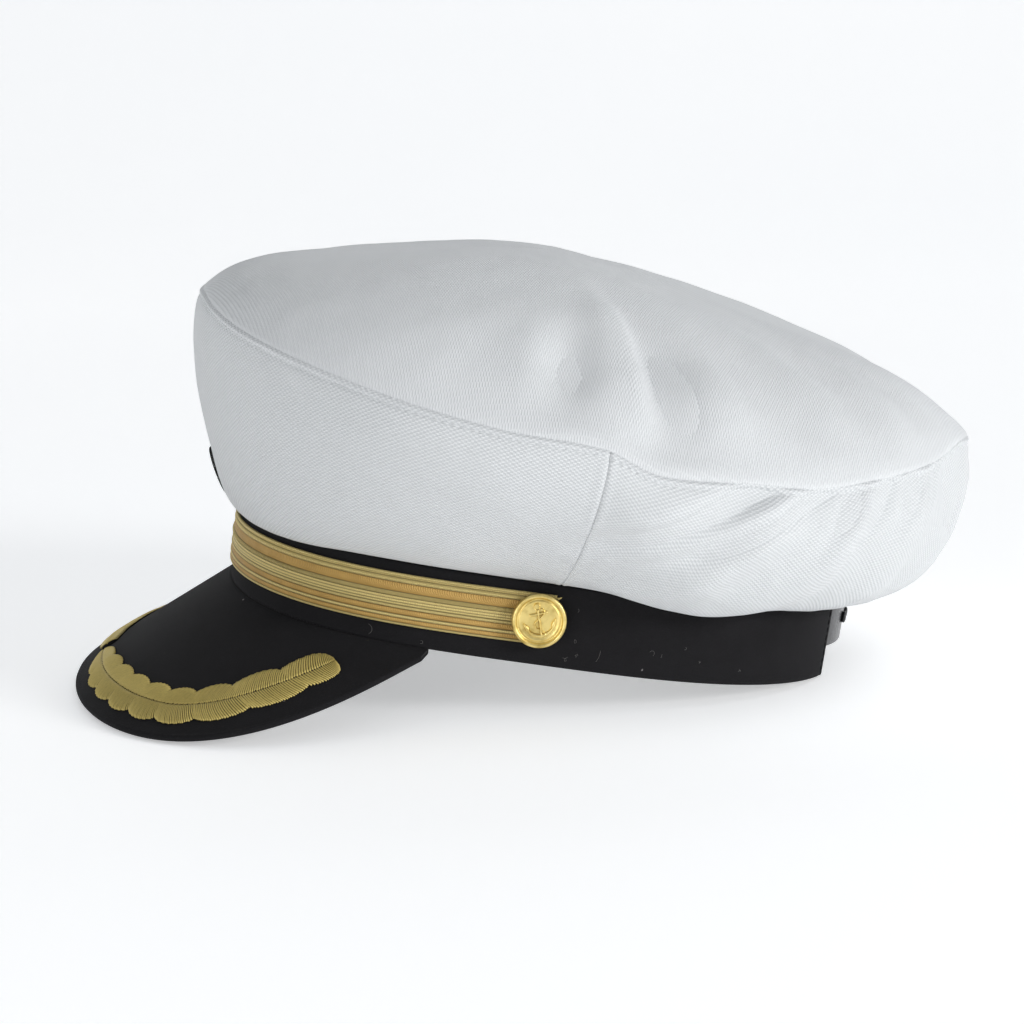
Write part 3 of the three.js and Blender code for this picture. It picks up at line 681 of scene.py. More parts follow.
sewn_panels = {}
edge = SIDE_SEAM * DEG
crown_front = wall_panel("crown_front_cloth", -edge, edge, 360, 70)
crown_back = wall_panel("crown_back_cloth", edge, TURN - edge, 420, 80)
wear(crown_front, pique, "white_cloth", "crown_front")
wear(crown_back, pique, "white_cloth", "crown_back")

# %% [markdown]
# The top is a dome that falls slowly from its crest and rolls over quickly at the seam. It
# is an open round sheet of cloth, so it is drawn in rings round the crest, which crowd
# towards the seam where the cloth bends most.

# %% The crown's top
EDGE_ROLL_POWER = 11
TOP_SECTIONS = table("at power roll", [
    [0, 1.25, 0.3],
    [45, 1.99, 0.42],
    [90, 2.34, 0.19],
    [135, 1.72, 0.24],
    [180, 1.59, 0.17],
])
TOP_FOLDS = table("at width reach rise", [
    [84, 7, 0.34, -1.1],
    [93, 5, 0.6, 0.9],
    [99, 5, 0.5, -0.9],
    [106, 6, 0.3, 0.9],
    [138, 8, 0.4, -0.5],
    [152, 8, 0.45, 0.7],
    [168, 7, 0.3, -0.6],
])
TOP_CREASES = table("at width reach rise", [
    [70, 5, 0.3, -0.2],
    [77, 3.5, 0.34, 0.45],
    [84, 3.5, 0.36, -0.65],
    [96, 2.5, 0.5, 0.8],
    [103, 3.8, 0.42, -0.85],
    [112, 4, 0.4, 0.45],
    [124, 5, 0.45, -0.35],
    [133, 4, 0.5, 0.35],
    [145, 3.0, 0.4, 0.45],
    [150, 2.6, 0.35, -0.5],
    [160, 4, 0.3, 0.3],
])
PUFF_LENGTH = 3.8
PUFFS = table("at width in_from_seam rise", [
    [86, 4.2, 3.5, 0.55],
    [101.5, 5.5, 3.5, 0.65],
    [118, 5, 4, 0.25],
    [137, 5, 4, 0.3],
    [154, 4, 4, 0.3],
])


def top_fold(turn, v, folds=TOP_FOLDS):
    """Height of the top's folds, which die away inwards and at the seam"""
    total = 0
    for at, width, reach, rise in zip(*folds.values()):
        inside = smooth(v, 1 - reach, 1 - reach * 0.4)
        total = total + rise * bell(turn - at, width) * inside
    return total * (1 - smooth(v, 0.84, 1)) * FOLD_DEPTH


def top(angle, v):
    """Outer face of the top panel, v from 0 at the crest to 1 at the seam"""
    angle, v = np.broadcast_arrays(np.asarray(angle, float), np.asarray(v, float))
    turn = turn_from(angle)
    rim = seam(angle) + (0, 0, SEAM_OPEN)
    crest = np.array([0, -CREST_FORWARD, BAND_HEIGHT + CREST_HEIGHT])
    roll = column(TOP_SECTIONS, "roll", turn)
    power = column(TOP_SECTIONS, "power", turn)
    fall = (1 - roll) * v**power + roll * v**EDGE_ROLL_POWER
    point = crest + (rim - crest) * v[..., None]
    z = crest[2] - (crest[2] - rim[..., 2]) * fall + top_fold(turn, v)
    return stack(point[..., 0], point[..., 1], z)


def top_normal(angle, v):
    return -normals_of(top, angle, v, 0.5 * DEG, 0.01, 0.02, 1)


def make_top(around, rings):
    angle = (np.arange(around) / around * 2 - 1)[None, :] * math.pi
    share = np.linspace(0, 1, rings)[:, None]
    v = 1 - (1 - share) ** 1.45
    bare = top(angle, v)
    normal = top_normal(angle, v)
    normal[0] = (0, 0, 1)
    run = length_along(bare, 0)
    to_seam = run[-1] - run
    rolled = -0.35 * bell(to_seam, 0.5)
    wave = rumple(bare * (1, 0.45, 1), 26, 3) * 1.1 + rumple(bare, 11, 4) * 0.25
    turn = turn_from(angle)
    creases = top_fold(turn, v, TOP_CREASES) * smooth(to_seam, 0, 14)
    sewn_down = smooth(to_seam, 0, 1.5)
    for at, width, inward, rise in zip(*PUFFS.values()):
        puff = rise * bell(turn - at, width) * bell(to_seam - inward, PUFF_LENGTH)
        creases = creases + puff * sewn_down
    height = rolled + wave * smooth(to_seam, 0, 10) + creases
    height[0] = height[0, 0]
    outer = bare + normal * height[..., None]
    inner = bare - normal * CLOTH
    return closed_disc("crown_top_cloth", outer, inner, bare[..., :2])


crown_top = wear(make_top(420, 100), twill, "white_cloth", "crown_top")

# %% [markdown]
# The band is one strip of felt that follows the oval. Its cross-section is a rectangle with
# rounded edges, swept from one end to the other, and both ends are turned in and stitched.
# The same sweep makes the braid and the plastic strips of the rear snap strap.

# %% A strip round the oval


def swept(name, angles, section, across=None):
    """Closed strip: section holds a ring of (outward, z) pairs for each angle"""
    count, ring = np.shape(section)[:2]
    points = band(angles[:, None] * np.ones(ring), section[..., 0], section[..., 1])
    head = np.arange(ring)[None]
    faces = [ring_faces(count, ring), head, head[:, ::-1] + (count - 1) * ring]
    across = length_along(section, 1) if across is None else np.broadcast_to(across, (count, ring))
    uv = np.stack([length_along(points, 0), across], -1).reshape(-1, 2)
    return mesh_object(name, rest(points.reshape(-1, 3)), faces, uv)


def rounded(inner, outer, low, high, radius, steps=4, face_rows=1):
    """Rectangle with rounded corners as (outward, z) pairs, outer face first, going up"""
    near, far, foot, head = inner + radius, outer - radius, low + radius, high - radius
    pairs = []
    for number, (x, z) in enumerate(((far, foot), (far, head), (near, head), (near, foot))):
        turn = (np.linspace(0, 90, steps + 1) + 90 * number - 90) * DEG
        pairs += zip(x + radius * np.cos(turn), z + radius * np.sin(turn))
        if number == 0:
            pairs += [(outer, z) for z in np.linspace(foot, head, face_rows + 1)[1:-1]]
    return np.array(pairs)


HEM_STITCH = 2.6


def make_band():
    angles = np.linspace(-band_end, band_end, 400)
    plain = rounded(-BAND_THICKNESS, 0, 0, BAND_HEIGHT, 0.9, face_rows=14)
    section = np.repeat(plain[None], len(angles), axis=0)
    to_end = (band_end - np.abs(angles)) * band_radius
    hem = -0.55 * bell(to_end, 0.7) - 0.35 * bell(to_end - HEM_STITCH, 0.5)
    on_face = plain[:, 0] > -BAND_THICKNESS / 2
    section[:, on_face, 0] += hem[:, None]
    return swept("band_felt", angles, section)


band_felt = wear(make_band(), felt, "black_felt", "band")

# %% [markdown]
# The visor is stiff sheet covered with felt. Straight rules run down from the band to the
# free edge, steep at the front and flatter to the sides, and the edge is round, because
# the felt is folded over it.

# %% The visor
VISOR_DEPTH, VISOR_THICKNESS = 62.3, 2.4
VISOR_SLOPE, VISOR_SLOPE_LOSS, VISOR_SPREAD, VISOR_FAN = 41, 10.5, 67, 57
VISOR_FULLNESS, VISOR_CORNER, VISOR_BLUNT, VISOR_TUCK = 6.6, 1.35, 0.02, 1.1


def visor(along, out):
    """Upper face of the visor, along from -1 to 1, out from 0 at the band to 1 at the edge"""
    along, out = np.broadcast_arrays(np.asarray(along, float), np.asarray(out, float))
    foot = band(along * VISOR_SPREAD * DEG, 0, -GAP)
    slope = (VISOR_SLOPE - VISOR_SLOPE_LOSS * along * along) * DEG
    heading = VISOR_FAN * along * DEG
    depth = VISOR_DEPTH * (1 - np.abs(along) ** VISOR_FULLNESS) ** VISOR_CORNER
    rule = stack(np.cos(slope) * np.sin(heading), -np.cos(slope) * np.cos(heading), -np.sin(slope))
    return foot + rule * (out * depth)[..., None]


def visor_normal(along, out):
    return -normals_of(visor, along, out, 0.004, 0.02, 0, 1)


def make_visor(columns=220, rows=50):
    """One sheet that runs out below, round the free edge and back above, closed at the band"""
    share = np.linspace(0, 1, columns)
    along = ((1 - VISOR_BLUNT) * np.sin((share * 2 - 1) * math.pi / 2))[None, :]
    out = np.linspace(1, 0, rows)[:, None]
    upper = visor(along, out)
    normal = visor_normal(along, out)
    half = VISOR_THICKNESS / 2
    upper[-1] -= unit(upper[-2] - upper[-1]) * VISOR_TUCK
    outward = unit(upper[0] - upper[1]) * half
    turns = np.linspace(-90, 90, 9)[1:-1, None, None] * DEG
    lift = normal[0] * half
    edge = upper[0] - lift - outward + outward * np.cos(turns) + lift * np.sin(turns)
    inset = upper - np.clip(1 - length_along(upper, 0)[..., None] / half, 0, 1) * outward
    under = inset - normal * VISOR_THICKNESS
    loop = np.concatenate([under[::-1], edge, inset])
    count = len(loop)
    i = np.arange(columns - 1)
    last = (count - 1) * columns + i
    back_edge = np.stack([last, last + 1, i + 1, i], axis=1)
    side = (np.arange(count) * columns)[None]
    faces = [grid_faces(count, columns), back_edge, side[:, ::-1], side + columns - 1]
    return mesh_object("visor_felt", rest(loop.reshape(-1, 3)), faces)


wear(make_visor(), felt, "black_felt", "visor")

# %% [markdown]
# Rows of stitches are short threads along a line of the cloth. The line is found on the
# panel's own grid, at a distance from its sewn edge, so the stitches lie in the groove that
# the panel already has there.

# %% Rows of stitches


def line_on(grid, run, before_end):
    """Where each column of a grid is this far before its end"""
    picked = []
    for number in range(grid.shape[1]):
        row = np.interp(run[-1, number] - before_end, run[:, number], np.arange(len(run)))
        low = min(int(row), len(run) - 2)
        picked.append(grid[low, number] + (grid[low + 1, number] - grid[low, number]) * (row - low))
    return np.array(picked)


def stitch_row(name, line, normals, pitch, length, half_width):
    """Stitches along a line, each arched and sunk at its ends"""
    run = length_along(line[None], 1)[0]
    share = np.linspace(-0.5, 0.5, 5)
    at = (np.arange(int(run[-1] / pitch)) + 0.5)[:, None] * pitch + share * length
    between = lambda values: np.stack([np.interp(at, run, part) for part in values.T], -1)
    up = unit(between(normals))
    arch = np.sqrt(1 - (share * 1.9) ** 2)
    path = between(line) + up * (0.30 * arch - 0.22)[:, None]
    return threads(name, path, up, half_width * arch, half_width * 1.2)


cotton = white_cloth("white_thread", 0.5, 0.5, 0.00003, 0.1)
for name, (grid, normal, run) in sewn_panels.items():
    line, up = line_on(grid, run, STITCH_FROM_SEAM), line_on(normal, run, STITCH_FROM_SEAM)
    wear(stitch_row(name + "_stitches", line, up, STITCH_PITCH, 2.1, 0.20), cotton, "white_cloth")

hem_z = np.linspace(1.5, BAND_HEIGHT - 1.5, 60)
for side_name, hand in SIDES:
    hem_angle = hand * (band_end - HEM_STITCH / band_radius)
    line = band(np.full_like(hem_z, hem_angle), -0.25, hem_z)
    away = unit(line * (1, 1, 0))
    wear(stitch_row("hem_stitches" + side_name, line, away, 2.6, 1.9, 0.22), felt, "black_felt")

# %% [markdown]
# Felt collects lint. A few short pale fibres, each with its own bend, lie on the band.

# %% Lint on the band


LINT_COUNT = 46


def make_lint():
    count, edge = LINT_COUNT, 0.9
    chance = np.random.default_rng(5).uniform(0, 1, (count, 6))
    share = np.linspace(-0.5, 0.5, 6)[None]
    heading = (chance[:, 2:3] + chance[:, 3:4] * share * 1.5) * math.pi
    length = 1.2 + 3.2 * chance[:, 4:5]
    angle = (chance[:, :1] * 2 - 1) * (band_end - 0.03)
    angle = angle + share * length * np.cos(heading) / band_radius
    z = 2 + (BAND_HEIGHT - 5) * chance[:, 1:2] + share * length * np.sin(heading)
    path = band(angle, 0.02 * np.ones_like(angle), np.clip(z, edge, BAND_HEIGHT - edge))
    return threads("band_lint", path, unit(path * (1, 1, 0)), 0.045, 0.07)


lint_finish = Finish("lint")
lint_dark, lint_light = colour(0.05, 0.05, 0.05), colour(0.22, 0.21, 0.2)
lint_tone = lint_finish.blend(lint_finish.clouds(0.001), lint_dark, lint_light)
wear(make_lint(), lint_finish.done(Base_Color=lint_tone, Roughness=0.9), "black_felt")

# %% [markdown]
# The braid is woven over a row of cords, so its face is a set of long ridges: three flat
# ones and several narrow ones, and one of them is a chain. The heights come from a table,
# and the same sweep as the band's carries them round. Fine wraps of gilt thread are left to
# the bump of its finish.

# %% Braid
BRAID_LOW, BRAID_WIDTH, BRAID_THICKNESS = 6.9, 16, 1.4
BRAID_FRONT_RISE, BRAID_PAST_BUTTON, BRAID_BASE, LINK_LENGTH = -0.9, 5.5, 0.45, 2.1
BUTTON_ANGLE = 86.9
# Places of the grooves between the cords, down from the upper edge; the braid's finish paints shade
# along them
BRAID_GROOVES = (0.085, 0.18, 0.36, 0.45, 0.505, 0.565, 0.615, 0.685, 0.797, 0.868, 0.955)
BRAID_CORDS = table("at half height twist", [
    [0.03, 0.035, 0.55, 0.5],
    [0.135, 0.045, 0.6, 0.5],
    [0.27, 0.095, 0.42, 0.0],
    [0.405, 0.045, 0.85, 1.0],
    [0.475, 0.03, 0.4, 0.3],
    [0.535, 0.035, 0.55, 0.3],
    [0.59, 0.028, 0.4, 0.3],
    [0.645, 0.04, 0.62, 0.5],
    [0.74, 0.06, 0.42, 0.0],
    [0.83, 0.038, 0.6, 0.5],
    [0.91, 0.05, 0.42, 0.0],
    [0.98, 0.025, 0.5, 0.5],
])


def braid_low(angle):
    return BRAID_LOW + BRAID_FRONT_RISE * np.cos(angle)


def cord_height(down, run):
    """Height of the braid's face, down from 0 at its upper edge to 1 at its lower edge"""
    height = np.zeros(np.broadcast(down, run).shape)
    for at, half, rise, twist in zip(*BRAID_CORDS.values()):
        across = np.clip(1 - ((down - at) / half) ** 2, 0, 1)
        links = 1 - 0.45 * twist * (0.5 - 0.5 * np.cos(run * TURN / LINK_LENGTH))
        height = np.maximum(height, rise * np.sqrt(across) * links)
    return height


braid_end = BUTTON_ANGLE * DEG + BRAID_PAST_BUTTON / band_radius


def make_braid():
    angles = np.linspace(-braid_end, braid_end, 960)
    up = np.append(np.linspace(0, 1, 62), (1, 0))
    outward = GAP + BRAID_BASE + cord_height(1 - up, (angles * band_radius)[:, None])
    outward[:, -2:] = GAP
    height = braid_low(angles)[:, None] + up * BRAID_WIDTH
    return swept("braid_cords", angles, np.stack([outward, height], -1), up)


def thread_finish(name, painted_shade, painted_highlight):
    """Gilt thread: a painted highlight along its crest, and painted shade where it dips between its
    neighbours
    """
    finish = Finish(name)
    along, across = finish.flat()
    crest = (across * math.pi).sine()
    grain = finish.clouds(0.0007, 3.0, 3.0)
    worn = finish.clouds(0.006, 2.0)
    # Painted highlight and shade: the colour is lighter on each thread's crest and darker at its
    # sides, mixed with the thread's own grain and wear
    tone = finish.blend((crest * 0.75 + grain * 0.45 + worn * 0.2).step(0.25, 1.15), painted_shade, painted_highlight)
    return finish.done(
        Base_Color=tone,
        Roughness=0.42 + grain * 0.2,
        Metallic=0.25 + crest * 0.15,
        Normal=finish.bump(grain, 0.00008),
    )


def braid_finish():
    finish = Finish("gold_braid")
    u, v = finish.flat()
    down = 1 - v
    wraps = (u * (TURN / 0.75) + v * 90).sine() * 0.5 + 0.5
    grain = finish.clouds(0.0006, 3.0)
    worn = finish.clouds(0.006, 3.0, 3.0)
    away = lambda at, near, far: (down - at).size().step(near, far)
    broad = away(0.27, 0.08, 0.10) * away(0.74, 0.05, 0.065) * away(0.91, 0.035, 0.05)
    # Painted shade: the colour darkens to a deep brown along each groove between the cords
    painted_groove_shade = 1
    for at in BRAID_GROOVES:
        painted_groove_shade = away(at, 0.002, 0.016) * painted_groove_shade
    cord_tones = colour(0.42, 0.30, 0.08), colour(0.98, 0.82, 0.36)
    flat_tones = colour(0.27, 0.155, 0.035), colour(0.66, 0.42, 0.12)
    painted_shade = colour(0.10, 0.06, 0.015)
    cord = finish.blend(wraps * 0.6 + grain * 0.4, *cord_tones)
    flat = finish.blend(wraps * 0.5 + worn * 0.5, *flat_tones)
    return finish.done(
        Base_Color=finish.blend(painted_groove_shade * 0.6 + 0.4, painted_shade, finish.blend(broad, flat, cord)),
        Roughness=0.42 + grain * 0.25,
        Metallic=0.3 + wraps * 0.15,
        Normal=finish.bump(wraps * 0.8 + grain * 0.4, 0.0002),
    )


gold_braid = braid_finish()
braid = wear(make_braid(), gold_braid, "gold_braid", "braid")

# %% [markdown]
# The ends of the braid are cut, so a few threads stick out there, each bent its own way.

# %% Frayed ends


def make_fray(name, hand, count=26):
    end = hand * braid_end
    height = braid_low(end) + np.linspace(0.8, BRAID_WIDTH - 0.8, count)
    base = band(np.full(count, end), GAP + 0.8, height)
    along = unit(band(np.array(end + hand * 0.01), 0, 0) - band(np.array(end), 0, 0))
    out = np.cross(along, UP) * hand
    chance = np.random.default_rng(11 + hand).uniform(-1, 1, (count, 3))
    share = np.linspace(0, 1, 5)[None, :, None]
    length = (1.5 + 0.7 * chance[:, :1])[:, None]
    path = base[:, None] + along * length * (share - 0.25)
    path = path + UP * chance[:, None, 1:2] * share**2
    path = path - out * (0.35 * share**2 + 0.15 * chance[:, None, 2:3] * share)
    return threads(name, path, np.broadcast_to(out, path.shape), 0.13, 0.2)


for side_name, hand in SIDES:
    wear(make_fray("fray" + side_name, hand), gold_braid, "gold_braid")

# %% [markdown]
# The leaf spray is satin stitch: hundreds of long threads side by side, from the middle
# vein to a lobed edge, over padding that makes it stand up. The place of a thread on the
# visor is found by turning a step beside the middle line into steps of the visor's own two
# directions.

# %% Leaf spray
SPRAY_FOOT, SPRAY_RISE, SPRAY_HALF_WIDTH, SPRAY_LEAVES, SPRAY_LOBE = 0.12, 1.02, 7.1, 9, 0.32
SPRAY_THREADS = 205
SPRAY_LINE = table("at along inset width", [
    [0, 0.03, 0.19, 0.45],
    [0.12, 0.16, 0.19, 0.9],
    [0.3, 0.33, 0.2, 1.05],
    [0.48, 0.48, 0.21, 1.1],
    [0.62, 0.58, 0.225, 1.15],
    [0.74, 0.66, 0.28, 1.2],
    [0.86, 0.735, 0.385, 1.15],
    [1, 0.8, 0.5, 0.85],
])
THREAD_SLANT = 0.022


def spray_place(share):
    """The visor's two numbers on the spray's middle line, share from 0 at the front to 1"""
    along = column(SPRAY_LINE, "along", share)
    fullness = (1 - along**VISOR_FULLNESS) ** VISOR_CORNER
    return along, 1 - column(SPRAY_LINE, "inset", share) / fullness


def spray_point(share, across, lift, hand):
    """Point beside the spray's middle line, and the visor's normal there"""
    share, across = np.broadcast_arrays(np.asarray(share, float), np.asarray(across, float))
    along, out = spray_place(share)
    along_next, out_next = spray_place(share + 0.01)
    here = visor(along, out)
    forward = unit(visor(along_next, out_next) - here)
    side = unit(np.cross(visor_normal(along, out), forward))
    leaf = np.abs(np.sin((share * SPRAY_LEAVES + 0.15 * across) * math.pi))
    lobes = 1 - SPRAY_LOBE * (1 - np.sqrt(leaf))
    tip = np.sqrt(np.clip(1 - np.clip((share - 0.925) / 0.075, 0, 1) ** 2, 0.02, 1))
    width = SPRAY_HALF_WIDTH * column(SPRAY_LINE, "width", share) * lobes * tip
    step = side * (width * across)[..., None]
    small = 0.01
    a = (visor(along + small, out) - here) / small
    b = (visor(along, out + small) - here) / small
    dot = lambda one, two: (one * two).sum(-1)
    aa, ab, bb = dot(a, a), dot(a, b), dot(b, b)
    det = aa * bb - ab * ab
    along = along + (dot(step, a) * bb - dot(step, b) * ab) / det
    out = out + (dot(step, b) * aa - dot(step, a) * ab) / det
    up = visor_normal(along, out)
    point = visor(along, out) + up * np.asarray(lift)[..., None]
    return point * (hand, 1, 1), up * (hand, 1, 1)


def satin_lift(across):
    """Height of the threads over the visor, least at the vein and at the edge"""
    round_over = np.sqrt(1 - np.abs(across) ** 2.6)
    return SPRAY_FOOT + SPRAY_RISE * round_over - 0.3 * bell(across, 0.1)


def make_spray(name, hand):
    share = np.linspace(0.004, 0.997, SPRAY_THREADS)[:, None, None]
    side = np.array([-1, 1])[None, :, None]
    reach = np.linspace(0.02, 0.985, 9)[None, None, :]
    drift = share + THREAD_SLANT * reach * (1 - share**6)
    uneven = 1 + 0.018 * np.sin(share * 901 + side)
    lift = satin_lift(reach) + 0 * drift * side
    points, up = spray_point(drift, side * reach * uneven, lift, hand)
    spacing = np.linalg.norm(np.diff(points, axis=0), axis=-1)
    wide = np.maximum(np.concatenate([spacing, spacing[-1:]]) * 0.45, 0.09)
    lines = lambda values: values.reshape((-1, reach.size) + values.shape[3:])
    satin = threads(name + "_satin", lines(points), lines(up), lines(wide), 0.34, True)
    share = np.linspace(0, 0.996, 220)[None, :]
    across = np.linspace(-0.97, 0.97, 13)[:, None] * hand
    drift = share + THREAD_SLANT * np.abs(across) * (1 - share**6)
    outer, up = spray_point(drift, across, satin_lift(across) - 0.1 + 0 * share, hand)
    inner, _ = spray_point(drift, across, 0 * across * share - 0.15, hand)
    pad = closed_sheet(name + "_padding", outer, inner)
    return satin, pad


def make_vein(name, hand):
    start = np.arange(0.02, 0.95, 0.0165)[:, None]
    reach = np.linspace(-1, 1, 5)[None]
    share = start + 0.008 * reach
    lift = np.full(share.shape, SPRAY_FOOT + SPRAY_RISE - 0.22)
    points, up = spray_point(share, 0.13 * reach * hand + 0 * start, lift, hand)
    return threads(name, points, up, 0.2 * (1.2 - reach**2), 0.26)


# Gold thread colours: the painted shade at the sides of each thread, and the painted highlight on
# its crest
gold_in_painted_shade, gold_in_painted_highlight = colour(0.085, 0.06, 0.012), colour(0.60, 0.475, 0.145)
gold_thread = thread_finish("gold_thread", gold_in_painted_shade, gold_in_painted_highlight)
for side_name, hand in SIDES:
    name = "spray" + side_name
    satin, pad = make_spray(name, hand)
    wear(satin, gold_thread, "gold_thread", name)
    wear(pad, felt, "gold_thread")
    wear(make_vein(name + "_vein", hand), felt, "gold_thread")

# %% [markdown]
# A gilt button is pressed from thin brass: a raised rim, a groove and a pebbled field, with
# an anchor and its rope standing up from it. The body is turned like a bowl, and the
# anchor's bars are the same half-round bodies as the threads, only larger.

# %% Buttons
BUTTON_TILT, BUTTON_FIELD, ANCHOR_HEIGHT = 17, 1.95, 10.8
BUTTON_PROFILE = np.array([
    (0, 0), (7.4, 0), (8.1, 0.35), (8.5, 0.8), (8.6, 1.4), (8.55, 2.0), (8.35, 2.45), (8.0, 2.68),
    (7.65, 2.68), (7.35, 2.5), (7.1, 2.2), (6.95, 1.98), (6.75, 1.9), (6.5, 2.0), (6.35, 2.2),
    (6.15, 2.28), (5.9, 2.22), (5.7, 2.12), (4.4, 2.2), (3.0, 2.26), (1.5, 2.3), (0, 2.32),
])


def on_button(hand, points):
    """Points given to the right, up and out from the middle of the button's back"""
    angle, tilt = BUTTON_ANGLE * DEG * hand, BUTTON_TILT * DEG * hand
    along, out = beside(angle)
    to_right = along * math.cos(tilt) + UP * math.sin(tilt)
    to_top = UP * math.cos(tilt) - along * math.sin(tilt)
    lift = GAP + BRAID_THICKNESS + GAP
    seat = band(np.array(angle), lift, braid_low(angle) + BRAID_WIDTH / 2)
    return seat + np.asarray(points, float) @ (to_right, to_top, out), out


def make_button(name, hand, around=120):
    turn = np.arange(around) * TURN / around
    radius, height = BUTTON_PROFILE[1:-1].T[..., None]
    rings = stack(radius * np.cos(turn), radius * np.sin(turn), height)
    middle_top = (0, 0, BUTTON_PROFILE[-1, 1])
    points, _ = on_button(hand, np.concatenate([[(0, 0, 0)], rings.reshape(-1, 3), [middle_top]]))
    i = np.arange(around)
    after = (i + 1) % around
    last = 1 + (len(radius) - 1) * around
    bottom = np.stack([0 * i, 1 + after, 1 + i], 1)
    cap = np.stack([last + i, last + after, 0 * i + len(points) - 1], 1)
    return mesh_object(name, rest(points), [bottom, ring_faces(len(radius), around, 1, True), cap])


def make_anchor(name, hand):
    h = ANCHOR_HEIGHT
    t = np.linspace(0, 1, 25)
    arc, ring = (205 + 130 * t) * DEG, t * TURN * 1.04
    sway = np.sin(t * TURN * 1.15 + 0.5)
    arms = 0.375 + 0.3 * np.sin(t * math.pi)
    bars = [
        (0 * t, h * (0.33 - 0.80 * t), 0.5, 1.15),
        (h * 0.26 * (2 * t - 1), h * (0.20 + 0.03 * t), 0.6, 1.05),
        (h * 0.085 * np.cos(ring), h * (0.415 + 0.085 * np.sin(ring)), 0.27, 0.9),
        (h * 0.44 * np.cos(arc), h * (0.03 + 0.45 * np.sin(arc)), arms, 1.15),
    ]
    for side in (-1, 1):
        fluke = 1.15 * np.sin(t * math.pi) ** 0.8 * (1.2 - t)
        bars.append((side * h * (0.33 + 0.15 * t), h * (-0.26 + 0.30 * t), fluke, 1.15))
    rope = 0.27 + 0.06 * np.sin(t * 150)
    bars.append((h * 0.2 * sway * (1 - 0.35 * t), h * (0.36 - 0.78 * t), rope, 1.3))
    across, up, widths, tall = (np.array([part + 0 * t for part in parts]) for parts in zip(*bars))
    paths, out = on_button(hand, stack(across, up, BUTTON_FIELD))
    return threads(name, paths, np.broadcast_to(out, paths.shape), widths, tall)


def gilt_finish():
    finish = Finish("gilt")
    pebble = finish.clouds(0.00045, 1.0)
    tarnish = finish.clouds(0.0035, 4.0, 2.0)
    bright, dull = colour(0.86, 0.68, 0.26), colour(0.48, 0.34, 0.09)
    tone = finish.blend(tarnish.step(0.35, 0.75), bright, dull)
    return finish.done(
        Base_Color=tone,
        Roughness=0.24 + tarnish * 0.22,
        Metallic=1.0,
        Normal=finish.bump(pebble, 0.00007),
    )


gilt = gilt_finish()
for side_name, hand in SIDES:
    name = "button" + side_name
    wear(make_button(name + "_disc", hand), gilt, "gilt", name)
    wear(make_anchor(name + "_anchor", hand), gilt, "gilt")

# %% [markdown]
# The front patch is a small oval of dark cloth with an overlocked border and a plain anchor
# in gold thread. It follows the crown, so every place on it is given by the oval's own two
# numbers and put on the wall.

# %% Front patch
PATCH_WIDTH, PATCH_HEIGHT, PATCH_THICKNESS, PATCH_CENTRE = 17, 21, 1, 0.21
PATCH_ANCHOR, STEP_UP, STEP_ROUND = 13.0, 0.05, 2 * DEG
step_up = wall(0.0, PATCH_CENTRE + STEP_UP) - wall(0.0, PATCH_CENTRE)
step_round = wall(STEP_ROUND, PATCH_CENTRE) - wall(-STEP_ROUND, PATCH_CENTRE)
patch_reach = np.linalg.norm(step_up) / STEP_UP
patch_arc = np.linalg.norm(step_round) / (2 * STEP_ROUND)


def on_patch(x, y, lift):
    """Point of the patch, x and y in millimetres from its middle"""
    angle, v = x / patch_arc, PATCH_CENTRE + y / patch_reach
    up = wall_normal(angle, v)
    return wall(angle, v) + up * np.broadcast_to(lift, np.shape(angle))[..., None], up


def patch_oval(turn, ring):
    return ring * np.cos(turn) * PATCH_WIDTH / 2, ring * np.sin(turn) * PATCH_HEIGHT / 2


def make_patch():
    turn = np.arange(120) * TURN / 120
    ring = np.linspace(0, 1, 18)[:, None]
    x, y = patch_oval(turn, ring)
    outer, _ = on_patch(x, y, GAP + PATCH_THICKNESS * (1 - 0.35 * ring**8) + 0 * turn)
    inner, _ = on_patch(x, y, GAP + 0 * turn * ring)
    return closed_disc("front_patch_cloth", outer, inner, np.stack([x, y], -1))


def make_patch_border():
    turn = (np.arange(150) * TURN / 150)[:, None]
    share = np.linspace(0, 1, 7)
    x, y = patch_oval(turn + 0.02 * share, 1.02 - 0.14 * share)
    points, up = on_patch(x, y, GAP + 0.3 + 0.9 * np.sin(share * math.pi) ** 0.6 + 0 * turn)
    return threads("front_patch_border", points, up, 0.2, 0.2, True)


def make_patch_anchor():
    h = PATCH_ANCHOR
    t = np.linspace(0, 1, 21)
    arc, ring = (205 + 130 * t) * DEG, t * TURN * 1.04
    bars = [
        (0 * t, h * (0.33 - 0.8 * t), 0.6),
        (h * 0.22 * (2 * t - 1), h * 0.22 + 0 * t, 0.5),
        (h * 0.08 * np.cos(ring), h * (0.41 + 0.08 * np.sin(ring)), 0.35),
        (h * 0.4 * np.cos(arc), h * (0.03 + 0.45 * np.sin(arc)), 0.6),
    ]
    paths, ups = zip(*[on_patch(x, y, GAP + PATCH_THICKNESS - 0.1 + 0 * t) for x, y, _ in bars])
    widths = np.array([half + 0 * t for _, _, half in bars])
    return threads("front_patch_anchor", paths, ups, widths, 0.4, True)


patch_cloth = black_felt("patch_cloth", 0.15)
wear(make_patch(), patch_cloth, "patch_cloth", "front_patch")
wear(make_patch_border(), patch_cloth, "patch_cloth")
wear(make_patch_anchor(), gold_thread, "gold_thread")

# %% [markdown]
# The snap strap is two strips of glossy black plastic. One has holes and the other has
# pegs that press through them. Each strip is swept like the band, and its free end is
# rounded by narrowing the section. The holes are cut by the Boolean modifier, which is
# applied at once.

